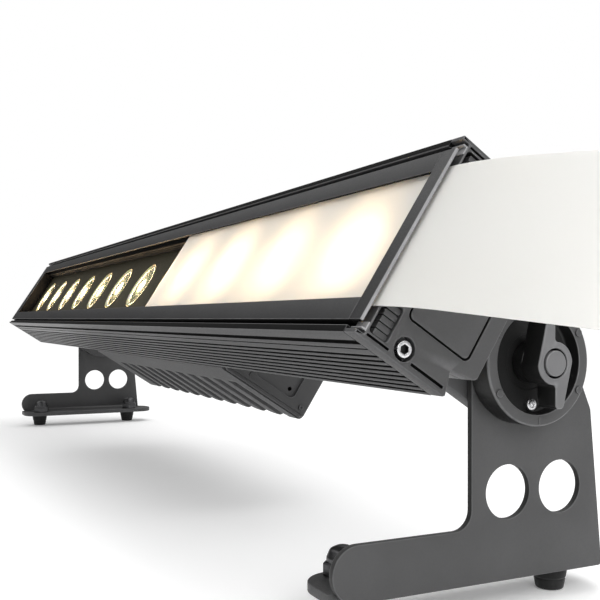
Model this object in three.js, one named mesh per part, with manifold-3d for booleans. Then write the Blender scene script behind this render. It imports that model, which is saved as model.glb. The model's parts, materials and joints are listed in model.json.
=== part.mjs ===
// LED strip batten: a twelve-cell light bar that tilts between two floor brackets, with a
// frost film sliding in its front guides. Millimetres, +Z up, front towards -Y.
//
// The housing is drawn in its own section frame: x along the batten, n from the front plane
// to the back, u up the front face. The fixture group tilts that frame about the hub axis.

import * as THREE from 'three';
import { mergeVertices } from 'three/addons/utils/BufferGeometryUtils.js';
import Module from 'manifold-3d';

const wasm = await Module();
wasm.setup();

// ---- Driving dimensions ---------------------------------------------------------------

const gap = 0.3; // air between pieces that seat on each other
const restTilt = 32.9; // degrees that the front face leans back from upright

const cellCount = 12;
const cellPitch = 80;
const endMargin = 63; // centre of the last cell to the outer end face

const faceHeight = 104; // housing across the front face
const sideDepth = 53; // front plane to the rear edge of the ribbed sides
const rearDepth = 65; // front plane to the rear wall
const waistRise = 12; // step in from each ribbed side to the narrower back
const waistSlope = 3; // further step in along the waist
const waistForward = 3.5; // the step's inner corner lies this far in front of sideDepth
const sideWall = 3.9;
const rearWall = 3;
const webFront = 41; // heat spreading web that carries the LED board
const webThickness = 6;
const ledgeDepth = 2; // ledge behind the bezel rails
const ledgeReach = 10;

const ribGroove = { depth: 1.8, width: 2.1, pitch: 4.26, first: 20.6, count: 8 };
const shadowGroove = { depth: 1.8, centre: 9, width: 3.6 };
const hairGroove = { depth: 0.8, centre: 14.6, width: 1.2 };

const screwPort = { u: 7.1, n: 25, half: 3.9, bore: 2.3 };
const capThickness = 9.7;
const capScrew = { headRadius: 3.75, headHeight: 3.8, shankRadius: 2, length: 16 };
const capScrewRecess = { radius: 5.5, depth: 4.2 };

const bezelGroove = 2.7; // dark gap between the side wall and the bezel
const bezelFlat = 11.4; // visible width of the long bezel rails
const bezelSkin = 1.6;
const bezelEndWidth = 10.2; // visible width of the short bezel ends
const guideFloor = 6.4; // depth of the film guide's rear leg
const guideLeg = 2;
const guideWeb = 2;
const revealDepth = 13.9; // inner edge of the rails runs back to the lens plate
const bezelEndSetback = 1.2; // outer edge of a bezel end to the end face

const lensPlateThickness = 2;
const lensPlateShort = 6; // the lens plate stops this far inside the bezel ends
const lensRadius = 22.4;
const lensFocusRadius = 7;
const lensDepth = 22;
const lensRim = 3;
const boardThickness = 2;
const emitter = { half: 3, height: 1.1 };

const filmThickness = 0.5;
const filmDepth = 3.3; // front plane to the film
const filmLap = 4.5; // film edge under each rail, past the opening
const filmLength = 490;
const filmInserted = 344; // length still inside the guides
const filmBendLength = 55; // the free end droops over this length and then runs straight
const filmBendAngle = 10;

const driverHalfLength = 200;
const driverBack = 144.5; // front plane to the back of the driver box
const driverRise = 4.3; // driver box side to the housing side
const driverWall = 5;
const driverEndThickness = 3;
const finPitch = 33.4;
const finGroove = { width: 3.4, depth: 3, start: 88 };
const driverCore = { halfLength: 160, clearance: 6 };

const panel = { halfWidth: 50, halfHeight: 19, height: 4, skin: 1.5, wall: 2 };
const display = { centre: -24, halfWidth: 18, halfHeight: 11, height: 0.8 };
const button = { radius: 3.5, clearance: 0.3, proud: 1.8, lift: 1.7, pitch: 12, first: 3 };
const socket = {
  halfWidth: 13,
  halfHeight: 15.5,
  flange: 2.2,
  proud: 4,
  barrelRadius: 11.7,
  barrelDepth: 9,
  boreRadius: 8.5,
  floor: 2,
};
const socketPlaces = [-160, -115, 115, 160];

const hubSetback = 45.7; // rear wall to the hub axis
const hubHeight = 126.5; // hub axis above the floor
const bracketInset = 40; // outer end face to the bracket's outer face
const plateThickness = 4;
const armThickness = 10;
const armRadius = 33;
const armFoot = { length: 36, thickness: 5 };

const boltRadius = 6.4;
const boltHead = { radius: 11, height: 7 };
const boltProud = 0.4;
const runningGap = 0.3;

const drum = { radius: 32.3, dishRadius: 26.4, floor: 6.7, height: 14.7 };
const bump = { radius: 2, ring: 29.4, height: 0.7, angle: 30 };
const drumScrew = { headRadius: 3, height: 2.2, ring: 21.8 };
const knob = { bossRadius: 10.8, reach: 22.6, wing: 5.6, wingDepth: 14, height: 19.5 };

const bracketFront = 30.5; // hub axis to the front edge of the plate
const bracketShoulder = { back: 49, drop: 27 };
const bracketBack = 57; // hub axis to the rear edge at the flange
const bracketCrown = 34;
const toeReach = 110;
const toeHeight = 28;
const toeFillet = 10;
const lighteningHole = { radius: 14, first: -7.5, pitch: 34.6, drop: 67 };
const flange = { depth: 36, thickness: 5, back: 68 };

const rubberFoot = { topRadius: 10, bottomRadius: 7.5, height: 14, inset: 14 };
const footPlaces = { front: -88, rear: 36 };
const domeNut = { radius: 10.5, skirt: 7, height: 15, inset: 26 };

// ---- Derived places -------------------------------------------------------------------

const halfLength = ((cellCount - 1) * cellPitch) / 2 + endMargin;
const uMid = faceHeight / 2;
const nHub = rearDepth + hubSetback;
const bodyEnd = halfLength - capThickness - gap;
const bezelEndOuter = halfLength - bezelEndSetback;
const bezelEndInner = bezelEndOuter - bezelEndWidth;
const railEnd = bezelEndInner - gap;
const bezelOuter = sideWall + bezelGroove;
const openingLow = bezelOuter + bezelFlat;
const lensFront = revealDepth + 0.5;
const boardBack = webFront - gap;
const waistBack = waistRise + waistSlope;
const plateOuter = halfLength - bracketInset;
const plateInner = plateOuter - plateThickness;
const armOuter = plateInner - gap;
const armInner = armOuter - armThickness;
const drumInner = plateOuter + gap;
const drumOuter = drumInner + drum.height;
const dishFloor = drumInner + drum.floor;
const knobInner = dishFloor + gap;
const knobOuter = knobInner + knob.height;
const boreRadius = boltRadius + runningGap;
const plateBottom = -(hubHeight - rubberFoot.height);
const flangeTop = plateBottom + flange.thickness;

// ---- Finishes -------------------------------------------------------------------------

const finish = (color, roughness, metalness) =>
  new THREE.MeshStandardMaterial({ color, roughness, metalness });

const coated = finish(0x2b2b2d, 0.55, 0.3);
const coatedEdge = finish(0x3a3a3c, 0.5, 0.3);
const castBlack = finish(0x1f1f20, 0.6, 0.2);
const plastic = finish(0x161617, 0.5, 0);
const knobGrey = finish(0x6b6b6d, 0.45, 0.2);
const rubber = finish(0x101010, 0.9, 0);
const steel = finish(0xc4c4c6, 0.3, 1);
const clear = finish(0xf2efd6, 0.15, 0);
const board = finish(0x1c3a24, 0.6, 0);
const glass = finish(0x0c1420, 0.1, 0);
const frost = finish(0xf2f2ef, 0.7, 0);

// ---- Geometry helpers -----------------------------------------------------------------

const axisX = new THREE.Vector3(1, 0, 0);
const axisY = new THREE.Vector3(0, 1, 0);
const axisZ = new THREE.Vector3(0, 0, 1);
const radians = THREE.MathUtils.degToRad;

// A closed geometry as a solid that can be joined and cut.
function toSolid(geometry) {
  const bare = geometry.clone();
  bare.deleteAttribute('normal');
  bare.deleteAttribute('uv');
  const merged = mergeVertices(bare);
  const vertProperties = new Float32Array(merged.attributes.position.array);
  const triVerts = new Uint32Array(merged.index.array);
  return new wasm.Manifold(new wasm.Mesh({ numProp: 3, vertProperties, triVerts }));
}

function toGeometry(solid) {
  const mesh = solid.getMesh();
  const geometry = new THREE.BufferGeometry();
  geometry.setAttribute('position', new THREE.BufferAttribute(mesh.vertProperties, 3));
  geometry.setIndex(new THREE.BufferAttribute(mesh.triVerts, 1));
  geometry.computeVertexNormals();
  return geometry;
}

function join(...geometries) {
  return toGeometry(geometries.map(toSolid).reduce((a, b) => a.add(b)));
}

function cut(geometry, ...tools) {
  return toGeometry(tools.map(toSolid).reduce((a, b) => a.subtract(b), toSolid(geometry)));
}

// The same piece for the other end of the batten: x changes sign and each face turns round.
function mirrored(geometry) {
  const flat = geometry.index ? geometry.toNonIndexed() : geometry.clone();
  const position = flat.attributes.position;
  const source = position.array.slice();
  for (let face = 0; face < position.count; face += 3) {
    for (let corner = 0; corner < 3; corner += 1) {
      const from = (face + 2 - corner) * 3;
      position.setXYZ(face + corner, -source[from], source[from + 1], source[from + 2]);
    }
  }
  flat.computeVertexNormals();
  return flat;
}

function block(x0, x1, y0, y1, z0, z1) {
  const geometry = new THREE.BoxGeometry(x1 - x0, y1 - y0, z1 - z0);
  return geometry.translate((x0 + x1) / 2, (y0 + y1) / 2, (z0 + z1) / 2);
}

// A shape drawn in the y-z plane, run along x.
function alongX(shape, x0, x1, curveSegments = 10) {
  const options = { depth: x1 - x0, bevelEnabled: false, curveSegments };
  const geometry = new THREE.ExtrudeGeometry(shape, options);
  geometry.applyMatrix4(new THREE.Matrix4().makeBasis(axisY, axisZ, axisX));
  return geometry.translate(x0, 0, 0);
}

// A shape drawn in the x-z plane as seen from the front, run along y.
function alongY(shape, y0, y1, curveSegments = 10) {
  const options = { depth: y1 - y0, bevelEnabled: false, curveSegments };
  const geometry = new THREE.ExtrudeGeometry(shape, options);
  geometry.applyMatrix4(new THREE.Matrix4().makeBasis(axisX, axisZ, axisY.clone().negate()));
  return geometry.translate(0, y1, 0);
}

// A shape drawn in the x-y plane, run up z.
function alongZ(shape, z0, z1, curveSegments = 10) {
  const options = { depth: z1 - z0, bevelEnabled: false, curveSegments };
  return new THREE.ExtrudeGeometry(shape, options).translate(0, 0, z0);
}

const polygon = (points) => new THREE.Shape(points.map(([a, b]) => new THREE.Vector2(a, b)));

const circle = (a, b, radius) => new THREE.Path().absarc(a, b, radius, 0, 2 * Math.PI, true);

// A turned piece: profile points are [radius, height], from one end of the axis to the other.
function turned(profile, segments = 24) {
  const points = profile.map(([r, h]) => new THREE.Vector2(r, h));
  return new THREE.LatheGeometry(points, segments);
}

const turnedAlongX = (profile, segments) => turned(profile, segments).rotateZ(-Math.PI / 2);
const turnedAlongZ = (profile, segments) => turned(profile, segments).rotateX(Math.PI / 2);

// A plain cylinder on the x axis, from x0 to x1.
function rod(radius, x0, x1, segments = 24) {
  return turnedAlongX([[0, x0], [radius, x0], [radius, x1], [0, x1]], segments);
}

const group = new THREE.Group();
const stand = new THREE.Group(); // hub axis at its origin, upright
const fixture = new THREE.Group(); // hub axis at its origin, tilted
const section = new THREE.Group(); // front lower edge of the housing at its origin
group.add(stand, fixture);
fixture.add(section);

function add(parent, name, geometry, material) {
  const mesh = new THREE.Mesh(geometry, material);
  mesh.name = name;
  parent.add(mesh);
}

// Adds a piece made for the right end, and its mirror image for the left end.
function addPair(parent, name, geometry, material, suffix = '') {
  add(parent, `${name}_right${suffix}`, geometry, material);
  add(parent, `${name}_left${suffix}`, mirrored(geometry), material);
}

// ---- Housing --------------------------------------------------------------------------

// Points of the lower side, then the same points seen in the mid line, as one outline.
function bothSides(lowerPoints) {
  const upper = lowerPoints.map(([n, u]) => [n, faceHeight - u]).reverse();
  return [...lowerPoints, ...upper];
}

function grooveOnSide(centre, width, depth) {
  const from = centre - width / 2;
  const to = centre + width / 2;
  return [[from, 0], [from, depth], [to, depth], [to, 0]];
}

function sideProfile() {
  const points = [[0, 0]];
  points.push(...grooveOnSide(shadowGroove.centre, shadowGroove.width, shadowGroove.depth));
  points.push(...grooveOnSide(hairGroove.centre, hairGroove.width, hairGroove.depth));
  for (let i = 0; i < ribGroove.count; i += 1) {
    const centre = ribGroove.first + i * ribGroove.pitch;
    points.push(...grooveOnSide(centre, ribGroove.width, ribGroove.depth));
  }
  return points;
}

// Rear half of the side: lower edge, step in at the waist, rear wall.
const waistProfile = [
  [sideDepth, 0],
  [sideDepth - waistForward, waistRise],
  [rearDepth, waistBack],
];

function housingExtrusion() {
  const ledgeFront = guideFloor + guideLeg + gap;
  const ledgeBack = ledgeFront + ledgeDepth;
  const ledgeTip = sideWall + ledgeReach;
  const portTop = screwPort.u + screwPort.half;
  const inside = [
    [webFront, sideWall],
    [screwPort.n + screwPort.half, sideWall],
    [screwPort.n + screwPort.half, portTop],
    [screwPort.n - screwPort.half, portTop],
    [screwPort.n - screwPort.half, sideWall],
    [ledgeBack, sideWall],
    [ledgeBack, ledgeTip],
    [ledgeFront, ledgeTip],
    [ledgeFront, sideWall],
    [0, sideWall],
  ];
  const lowerHalf = [...inside, ...sideProfile(), ...waistProfile];
  const shape = polygon(bothSides(lowerHalf));
  const chamber = [
    [webFront + webThickness, waistRise + rearWall],
    [rearDepth - rearWall, waistBack + rearWall],
  ];
  shape.holes.push(polygon(bothSides(chamber)));
  for (const u of [screwPort.u, faceHeight - screwPort.u]) {
    shape.holes.push(circle(screwPort.n, u, screwPort.bore));
  }
  return alongX(shape, -bodyEnd, bodyEnd, 5);
}

function endCap() {
  const outline = polygon(bothSides([[0, 0], ...waistProfile]));
  const inner = halfLength - capThickness;
  const cap = alongX(outline, inner, halfLength);
  const notchSide = sideWall + bezelGroove + guideWeb - gap;
  const beyond = 1;
  const tools = [
    block(inner - beyond, halfLength + beyond, -beyond, guideFloor,
      notchSide, faceHeight - notchSide),
  ];
  for (const u of [screwPort.u, faceHeight - screwPort.u]) {
    const recess = rod(capScrewRecess.radius, halfLength - capScrewRecess.depth,
      halfLength + beyond);
    tools.push(recess.translate(0, screwPort.n, u));
    const hole = rod(screwPort.bore, inner - beyond, halfLength + beyond, 12);
    tools.push(hole.translate(0, screwPort.n, u));
  }
  // The bezel groove stays open past the cap's front corners.
  tools.push(block(inner - beyond, bezelEndOuter + gap, -beyond, bezelSkin + gap,
    bezelOuter - gap, faceHeight - bezelOuter + gap));
  return cut(cap, ...tools);
}

function capScrewGeometry() {
  const seat = halfLength - capScrewRecess.depth + gap;
  const { headRadius, headHeight, shankRadius, length } = capScrew;
  return turnedAlongX([
    [0, seat - length],
    [shankRadius, seat - length],
    [shankRadius, seat],
    [headRadius, seat],
    [headRadius, seat + headHeight],
    [0, seat + headHeight],
  ], 16);
}

// ---- Bezel and film guide -------------------------------------------------------------

function bezelRail() {
  const shape = polygon([
    [0, bezelOuter],
    [guideFloor + guideLeg, bezelOuter],
    [guideFloor + guideLeg, openingLow - guideLeg],
    [revealDepth, openingLow - guideLeg],
    [revealDepth, openingLow],
    [guideFloor, openingLow],
    [guideFloor, bezelOuter + guideWeb],
    [bezelSkin, bezelOuter + guideWeb],
    [bezelSkin, openingLow],
    [0, openingLow],
  ]);
  return alongX(shape, -railEnd, railEnd);
}

function filmGeometry() {
  const bend = radians(filmBendAngle);
  const radius = filmBendLength / bend;
  const steps = 6;
  const start = bezelEndInner;
  const straight = filmLength - filmInserted - filmBendLength;
  const centre = [[start - filmInserted, 0, 0]];
  for (let i = 0; i <= steps; i += 1) {
    const angle = (bend * i) / steps;
    centre.push([start + radius * Math.sin(angle), radius * (1 - Math.cos(angle)), angle]);
  }
  const [x, n] = centre[centre.length - 1];
  centre.push([x + straight * Math.cos(bend), n + straight * Math.sin(bend), bend]);
  const side = (offset) => centre.map(([a, b, angle]) => [
    a - offset * Math.sin(angle),
    filmDepth + b + offset * Math.cos(angle),
  ]);
  const half = filmThickness / 2;
  const outline = polygon([...side(-half), ...side(half).reverse()]);
  const low = openingLow - filmLap;
  return alongZ(outline, low, faceHeight - low);
}

// ---- Light engine ---------------------------------------------------------------------

const cellPlace = (index) => (index - (cellCount - 1) / 2) * cellPitch;

function lensPlate() {
  const half = bezelEndInner - lensPlateShort;
  const low = sideWall + gap;
  const high = faceHeight - low;
  const shape = polygon([[-half, low], [half, low], [half, high], [-half, high]]);
  for (let i = 0; i < cellCount; i += 1) {
    shape.holes.push(circle(cellPlace(i), uMid, lensRadius + gap));
  }
  return alongY(shape, lensFront, lensFront + lensPlateThickness, 10);
}

function lensGeometry(index) {
  const lens = turned([
    [0, lensFront],
    [lensRadius, lensFront],
    [lensRadius, lensFront + lensRim],
    [lensFocusRadius, lensFront + lensDepth],
    [0, lensFront + lensDepth],
  ], 20);
  return lens.translate(cellPlace(index), 0, uMid);
}

function ledBoard() {
  const half = bezelEndInner - lensPlateShort;
  const front = boardBack - boardThickness;
  const low = openingLow;
  const pieces = [block(-half, half, front, boardBack, low, faceHeight - low)];
  for (let i = 0; i < cellCount; i += 1) {
    const x = cellPlace(i);
    const { half: side, height } = emitter;
    pieces.push(block(x - side, x + side, front - height, front + height / 2,
      uMid - side, uMid + side));
  }
  return join(...pieces);
}

// ---- Driver box -----------------------------------------------------------------------

const driverFront = rearDepth + gap;
const driverHigh = faceHeight - driverRise;

// A plain cylinder through the back of the driver box, in line with the section's n axis.
function turnedAt(x, radius, n0, n1, segments = 20) {
  return turned([[0, n0], [radius, n0], [radius, n1], [0, n1]], segments)
    .translate(x, 0, uMid);
}

function driverBox() {
  const half = driverHalfLength;
  const shell = block(-half, half, driverFront, driverBack, driverRise, driverHigh);
  const beyond = 1;
  const cavity = block(-half - beyond, half + beyond,
    driverFront + driverWall, driverBack - driverWall,
    driverRise + driverWall, driverHigh - driverWall);
  const tools = [cavity];
  const fins = Math.floor((half - finPitch / 2) / finPitch);
  for (let i = -fins; i <= fins; i += 1) {
    const x0 = i * finPitch - finGroove.width / 2;
    const x1 = x0 + finGroove.width;
    tools.push(block(x0, x1, finGroove.start, driverBack + beyond,
      driverRise - beyond, driverRise + finGroove.depth));
    tools.push(block(x0, x1, finGroove.start, driverBack + beyond,
      driverHigh - finGroove.depth, driverHigh + beyond));
  }
  for (const x of socketPlaces) {
    tools.push(turnedAt(x, socket.barrelRadius + gap, driverBack - 2 * driverWall,
      driverBack + beyond));
  }
  return cut(shell, ...tools);
}

function driverEnd() {
  const x0 = driverHalfLength + gap;
  const border = 1;
  return block(x0, x0 + driverEndThickness, driverFront + border, driverBack - border,
    driverRise + border, driverHigh - border);
}

function driverModule() {
  const { halfLength: half, clearance } = driverCore;
  const inset = driverWall + clearance;
  return block(-half, half, driverFront + inset, driverBack - inset,
    driverRise + inset, driverHigh - inset);
}

const panelFront = driverBack + gap;
const panelBack = panelFront + panel.height;
const buttonNames = ['menu', 'down', 'up', 'enter'];
const buttonPlace = (index) => button.first + index * button.pitch;

function controlPanel() {
  const { halfWidth, halfHeight, skin, wall } = panel;
  const plate = block(-halfWidth, halfWidth, panelFront, panelBack,
    uMid - halfHeight, uMid + halfHeight);
  const beyond = 1;
  const tools = [
    block(-halfWidth + wall, halfWidth - wall, panelFront - beyond, panelBack - skin,
      uMid - halfHeight + wall, uMid + halfHeight - wall),
  ];
  buttonNames.forEach((name, index) => {
    const radius = button.radius + button.clearance;
    tools.push(turnedAt(buttonPlace(index), radius, panelFront, panelBack + beyond, 16));
  });
  return cut(plate, ...tools);
}

function displayWindow() {
  const { centre, halfWidth, halfHeight, height } = display;
  const front = panelBack + gap;
  return block(centre - halfWidth, centre + halfWidth, front, front + height,
    uMid - halfHeight, uMid + halfHeight);
}

function buttonGeometry(index) {
  return turnedAt(buttonPlace(index), button.radius, panelFront + button.lift,
    panelBack + button.proud, 16);
}

// A chassis socket: its flange seats on the driver box and its barrel passes through the wall.
function socketGeometry(x) {
  const { halfWidth, halfHeight, barrelRadius, boreRadius: bore } = socket;
  const barrelEnd = driverBack - socket.barrelDepth;
  const mouth = panelFront + socket.proud;
  const plate = block(x - halfWidth, x + halfWidth, panelFront, panelFront + socket.flange,
    uMid - halfHeight, uMid + halfHeight);
  const barrel = turnedAt(x, barrelRadius, barrelEnd, mouth);
  return cut(join(plate, barrel), turnedAt(x, bore, barrelEnd + socket.floor, mouth + 1));
}

// ---- Hubs -----------------------------------------------------------------------------

function pivotArm() {
  const front = rearDepth + gap;
  const shape = new THREE.Shape();
  shape.moveTo(front, uMid - armRadius);
  shape.lineTo(nHub, uMid - armRadius);
  shape.absarc(nHub, uMid, armRadius, -Math.PI / 2, Math.PI / 2, false);
  shape.lineTo(front, uMid + armRadius);
  shape.holes.push(circle(nHub, uMid, boreRadius));
  const web = alongX(shape, armInner, armOuter);
  const foot = block(armOuter - armFoot.length, armOuter, front, front + armFoot.thickness,
    uMid - armRadius, uMid + armRadius);
  return join(web, foot);
}

function hubDrum() {
  const cup = turnedAlongX([
    [boreRadius, drumInner],
    [drum.radius, drumInner],
    [drum.radius, drumOuter],
    [drum.dishRadius, drumOuter],
    [drum.dishRadius, dishFloor],
    [boreRadius, dishFloor],
    [boreRadius, drumInner],
  ], 40);
  const bumps = [bump.angle, 180 - bump.angle, 180 + bump.angle, 360 - bump.angle];
  const pegs = bumps.map((degrees) => {
    const peg = rod(bump.radius, drumOuter - 1, drumOuter + bump.height, 10);
    const angle = radians(degrees);
    return peg.translate(0, bump.ring * Math.cos(angle), bump.ring * Math.sin(angle));
  });
  return join(cup, ...pegs);
}

function drumScrewGeometry() {
  const seat = dishFloor + gap;
  return rod(drumScrew.headRadius, seat, seat + drumScrew.height, 12)
    .translate(0, 0, -drumScrew.ring);
}

function hubBolt() {
  const seat = armInner - gap;
  return turnedAlongX([
    [0, seat - boltHead.height],
    [boltHead.radius, seat - boltHead.height],
    [boltHead.radius, seat],
    [boltRadius, seat],
    [boltRadius, knobOuter + boltProud],
    [0, knobOuter + boltProud],
  ], 24);
}

// Two wings, the second the first turned half round. A wing's outer edge leaves the boss as a
// tangent and leans in towards the middle.
function lockKnob() {
  const { bossRadius, reach, wing, wingDepth } = knob;
  const wingShape = polygon([
    [-bossRadius, 0],
    [0, 0],
    [wing * 0.2, bossRadius * 0.9],
    [wing * 0.2, reach - 1],
    [-wing * 0.1, reach],
    [-wing * 0.7, reach],
    [-wing, reach - 1],
  ].reverse());
  const upper = alongX(wingShape, knobOuter - wingDepth, knobOuter);
  const lower = upper.clone().rotateX(Math.PI);
  const boss = rod(bossRadius, knobInner, knobOuter, 32);
  const bore = rod(boreRadius, knobInner - 1, knobOuter + 1, 24);
  return cut(join(boss, upper, lower), bore);
}

// ---- Brackets -------------------------------------------------------------------------

function bracketPlate() {
  const toeTop = plateBottom + toeHeight;
  const toeRadius = toeHeight / 2;
  const toeCentre = -(toeReach - toeRadius);
  const shape = new THREE.Shape();
  shape.moveTo(bracketBack, plateBottom);
  shape.lineTo(bracketShoulder.back, -bracketShoulder.drop);
  const lean = Math.atan2(bracketShoulder.back - bracketCrown, bracketShoulder.drop);
  shape.absarc(0, 0, bracketCrown, lean, Math.PI - Math.acos(bracketFront / bracketCrown),
    false);
  shape.lineTo(-bracketFront, toeTop + toeFillet);
  shape.absarc(-bracketFront - toeFillet, toeTop + toeFillet, toeFillet, 0, -Math.PI / 2, true);
  shape.absarc(toeCentre, plateBottom + toeRadius, toeRadius, Math.PI / 2, 1.5 * Math.PI, false);
  for (let i = 0; i < 2; i += 1) {
    const y = lighteningHole.first + i * lighteningHole.pitch;
    shape.holes.push(circle(y, -lighteningHole.drop, lighteningHole.radius));
  }
  shape.holes.push(circle(0, 0, boreRadius));
  return alongX(shape, plateInner, plateOuter, 8);
}

// The flange turns in towards the middle of the batten, with a round corner at each end.
function bracketFlange() {
  const corner = flange.depth / 2;
  const front = -(toeReach - toeHeight / 2);
  const inner = plateInner - flange.depth;
  const shape = new THREE.Shape();
  shape.moveTo(plateOuter, front);
  shape.lineTo(plateOuter, flange.back - corner);
  shape.absarc(plateOuter - corner, flange.back - corner, corner, 0, Math.PI / 2, false);
  shape.absarc(inner + corner, flange.back - corner, corner, Math.PI / 2, Math.PI, false);
  shape.absarc(inner + corner, front + corner - toeHeight / 2, corner, Math.PI,
    1.5 * Math.PI, false);
  shape.lineTo(plateInner - 1, front - toeHeight / 2);
  shape.lineTo(plateInner - 1, front);
  return alongZ(shape, plateBottom, flangeTop, 6);
}

function bracket() {
  return join(bracketPlate(), bracketFlange());
}

function rubberFootGeometry(y) {
  const { topRadius, bottomRadius, height, inset } = rubberFoot;
  const bottom = plateBottom - height;
  const cone = turnedAlongZ([
    [0, bottom],
    [bottomRadius, bottom],
    [topRadius, plateBottom - gap],
    [0, plateBottom - gap],
  ], 20);
  return cone.translate(plateInner - inset, y, 0);
}

function domeNutGeometry(y) {
  const { radius, skirt, height, inset } = domeNut;
  const seat = flangeTop + gap;
  const profile = [[0, seat], [radius, seat], [radius, seat + skirt]];
  const steps = 3;
  for (let i = 1; i <= steps; i += 1) {
    const angle = (Math.PI / 2) * (i / steps);
    const reach = i === steps ? 0 : radius * Math.cos(angle);
    profile.push([reach, seat + skirt + (height - skirt) * Math.sin(angle)]);
  }
  return turnedAlongZ(profile, 12).translate(plateInner - inset, y, 0);
}

// ---- Assembly -------------------------------------------------------------------------

add(section, 'housing_extrusion', housingExtrusion(), coated);
addPair(section, 'end_cap', endCap(), coatedEdge);

const upperSide = new THREE.Matrix4().makeTranslation(0, 0, faceHeight - 2 * screwPort.u);
const lowerScrew = capScrewGeometry().translate(0, screwPort.n, screwPort.u);
addPair(section, 'cap_screw', lowerScrew, steel, '_lower');
addPair(section, 'cap_screw', lowerScrew.clone().applyMatrix4(upperSide), steel, '_upper');

add(section, 'bezel_rail_lower', bezelRail(), coated);
const upperRail = mirrored(bezelRail()).rotateY(Math.PI).translate(0, 0, faceHeight);
add(section, 'bezel_rail_upper', upperRail, coated);
const bezelEnd = block(bezelEndInner, bezelEndOuter, 0, bezelSkin,
  bezelOuter, faceHeight - bezelOuter);
addPair(section, 'bezel_end', bezelEnd, coated);
add(section, 'frost_film', filmGeometry(), frost);

add(section, 'lens_plate', lensPlate(), plastic);
add(section, 'led_board', ledBoard(), board);
for (let i = 0; i < cellCount; i += 1) {
  add(section, `lens_${String(i + 1).padStart(2, '0')}`, lensGeometry(i), clear);
}

add(section, 'driver_box', driverBox(), castBlack);
addPair(section, 'driver_end', driverEnd(), castBlack);
add(section, 'driver_module', driverModule(), steel);
add(section, 'control_panel', controlPanel(), plastic);
add(section, 'display_window', displayWindow(), glass);
buttonNames.forEach((name, index) => {
  add(section, `button_${name}`, buttonGeometry(index), rubber);
});
['power_inlet', 'power_outlet', 'data_inlet', 'data_outlet'].forEach((name, index) => {
  add(section, name, socketGeometry(socketPlaces[index]), plastic);
});
addPair(section, 'pivot_arm', pivotArm(), castBlack);

addPair(stand, 'bracket', bracket(), coatedEdge);
addPair(stand, 'hub_drum', hubDrum(), coatedEdge);
addPair(stand, 'drum_screw', drumScrewGeometry(), steel);
addPair(stand, 'hub_bolt', hubBolt(), knobGrey);
addPair(stand, 'lock_knob', lockKnob(), knobGrey);
for (const [place, y] of Object.entries(footPlaces)) {
  addPair(stand, 'rubber_foot', rubberFootGeometry(y), rubber, `_${place}`);
  addPair(stand, 'dome_nut', domeNutGeometry(y), castBlack, `_${place}`);
}

section.position.set(0, -nHub, -uMid);
fixture.rotation.x = -radians(restTilt);
fixture.position.z = hubHeight;
stand.position.z = hubHeight;

// The origin is under the middle of the whole object, on the floor.
group.updateMatrixWorld(true);
const extent = new THREE.Box3().setFromObject(group, true);
const centre = extent.getCenter(new THREE.Vector3());
group.position.set(-centre.x, -centre.y, -extent.min.z);
group.updateMatrixWorld(true);

export default group;
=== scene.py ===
"""Looks of an LED strip batten, a ribbed light bar that tilts between two floor brackets.

Sizes are in millimetres and are drawn in one of two frames. The section frame has x along the
batten, n from the front plane to the back and u up the front face. The stand frame has x along
the batten, y to the back and z up, both from the hub axis.
"""

import json
import logging
import math
from dataclasses import dataclass, field
from enum import Enum

import bpy
import numpy as np
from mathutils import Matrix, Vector
from mathutils.geometry import delaunay_2d_cdt

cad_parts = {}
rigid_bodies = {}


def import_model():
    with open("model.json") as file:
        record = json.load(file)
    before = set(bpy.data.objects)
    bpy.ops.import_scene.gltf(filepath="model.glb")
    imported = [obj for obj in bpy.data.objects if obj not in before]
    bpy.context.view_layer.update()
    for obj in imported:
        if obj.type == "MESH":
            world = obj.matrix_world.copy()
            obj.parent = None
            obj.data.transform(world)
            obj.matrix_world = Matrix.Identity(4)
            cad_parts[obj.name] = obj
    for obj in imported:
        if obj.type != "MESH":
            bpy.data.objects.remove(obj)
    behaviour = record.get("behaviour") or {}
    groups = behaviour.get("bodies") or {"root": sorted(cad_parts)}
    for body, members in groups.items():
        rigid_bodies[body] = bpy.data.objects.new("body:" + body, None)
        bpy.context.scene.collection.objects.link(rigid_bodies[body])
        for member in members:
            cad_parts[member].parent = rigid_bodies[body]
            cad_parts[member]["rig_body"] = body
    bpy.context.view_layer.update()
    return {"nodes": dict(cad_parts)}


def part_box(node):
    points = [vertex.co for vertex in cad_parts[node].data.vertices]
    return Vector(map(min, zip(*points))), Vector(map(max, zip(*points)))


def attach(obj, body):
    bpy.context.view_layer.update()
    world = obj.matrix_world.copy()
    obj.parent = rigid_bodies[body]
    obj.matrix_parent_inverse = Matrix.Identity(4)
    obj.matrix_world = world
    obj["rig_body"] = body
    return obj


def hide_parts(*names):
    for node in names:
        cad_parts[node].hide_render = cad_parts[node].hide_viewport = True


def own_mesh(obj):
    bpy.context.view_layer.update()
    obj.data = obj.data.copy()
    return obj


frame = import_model()

log = logging.getLogger("batten")

MM = 0.001
TILT = math.radians(32.9)
HUB_N = 110.7
FACE = 104.0
MID_U = FACE / 2
HOUSING_BACK = 65.3
PIVOT_BORE = 6.7
PANEL_FRONT = 144.8
SMOOTH_ANGLE = math.radians(38)


class Side(Enum):
    """Which end of the batten a piece belongs to; the value is the sign of its x."""

    RIGHT = 1
    LEFT = -1

    @property
    def word(self) -> str:
        """The side's name as used in piece and node names."""
        return self.name.lower()


class Along(Enum):
    """The direction that a slab's height or a turned piece's axis runs in.

    The value gives the drawing coordinate that becomes each of x, n (or y) and u (or z).
    """

    X = (2, 0, 1)
    N = (0, 2, 1)
    U = (1, 0, 2)


# ---- Frames -----------------------------------------------------------------------------


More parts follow.
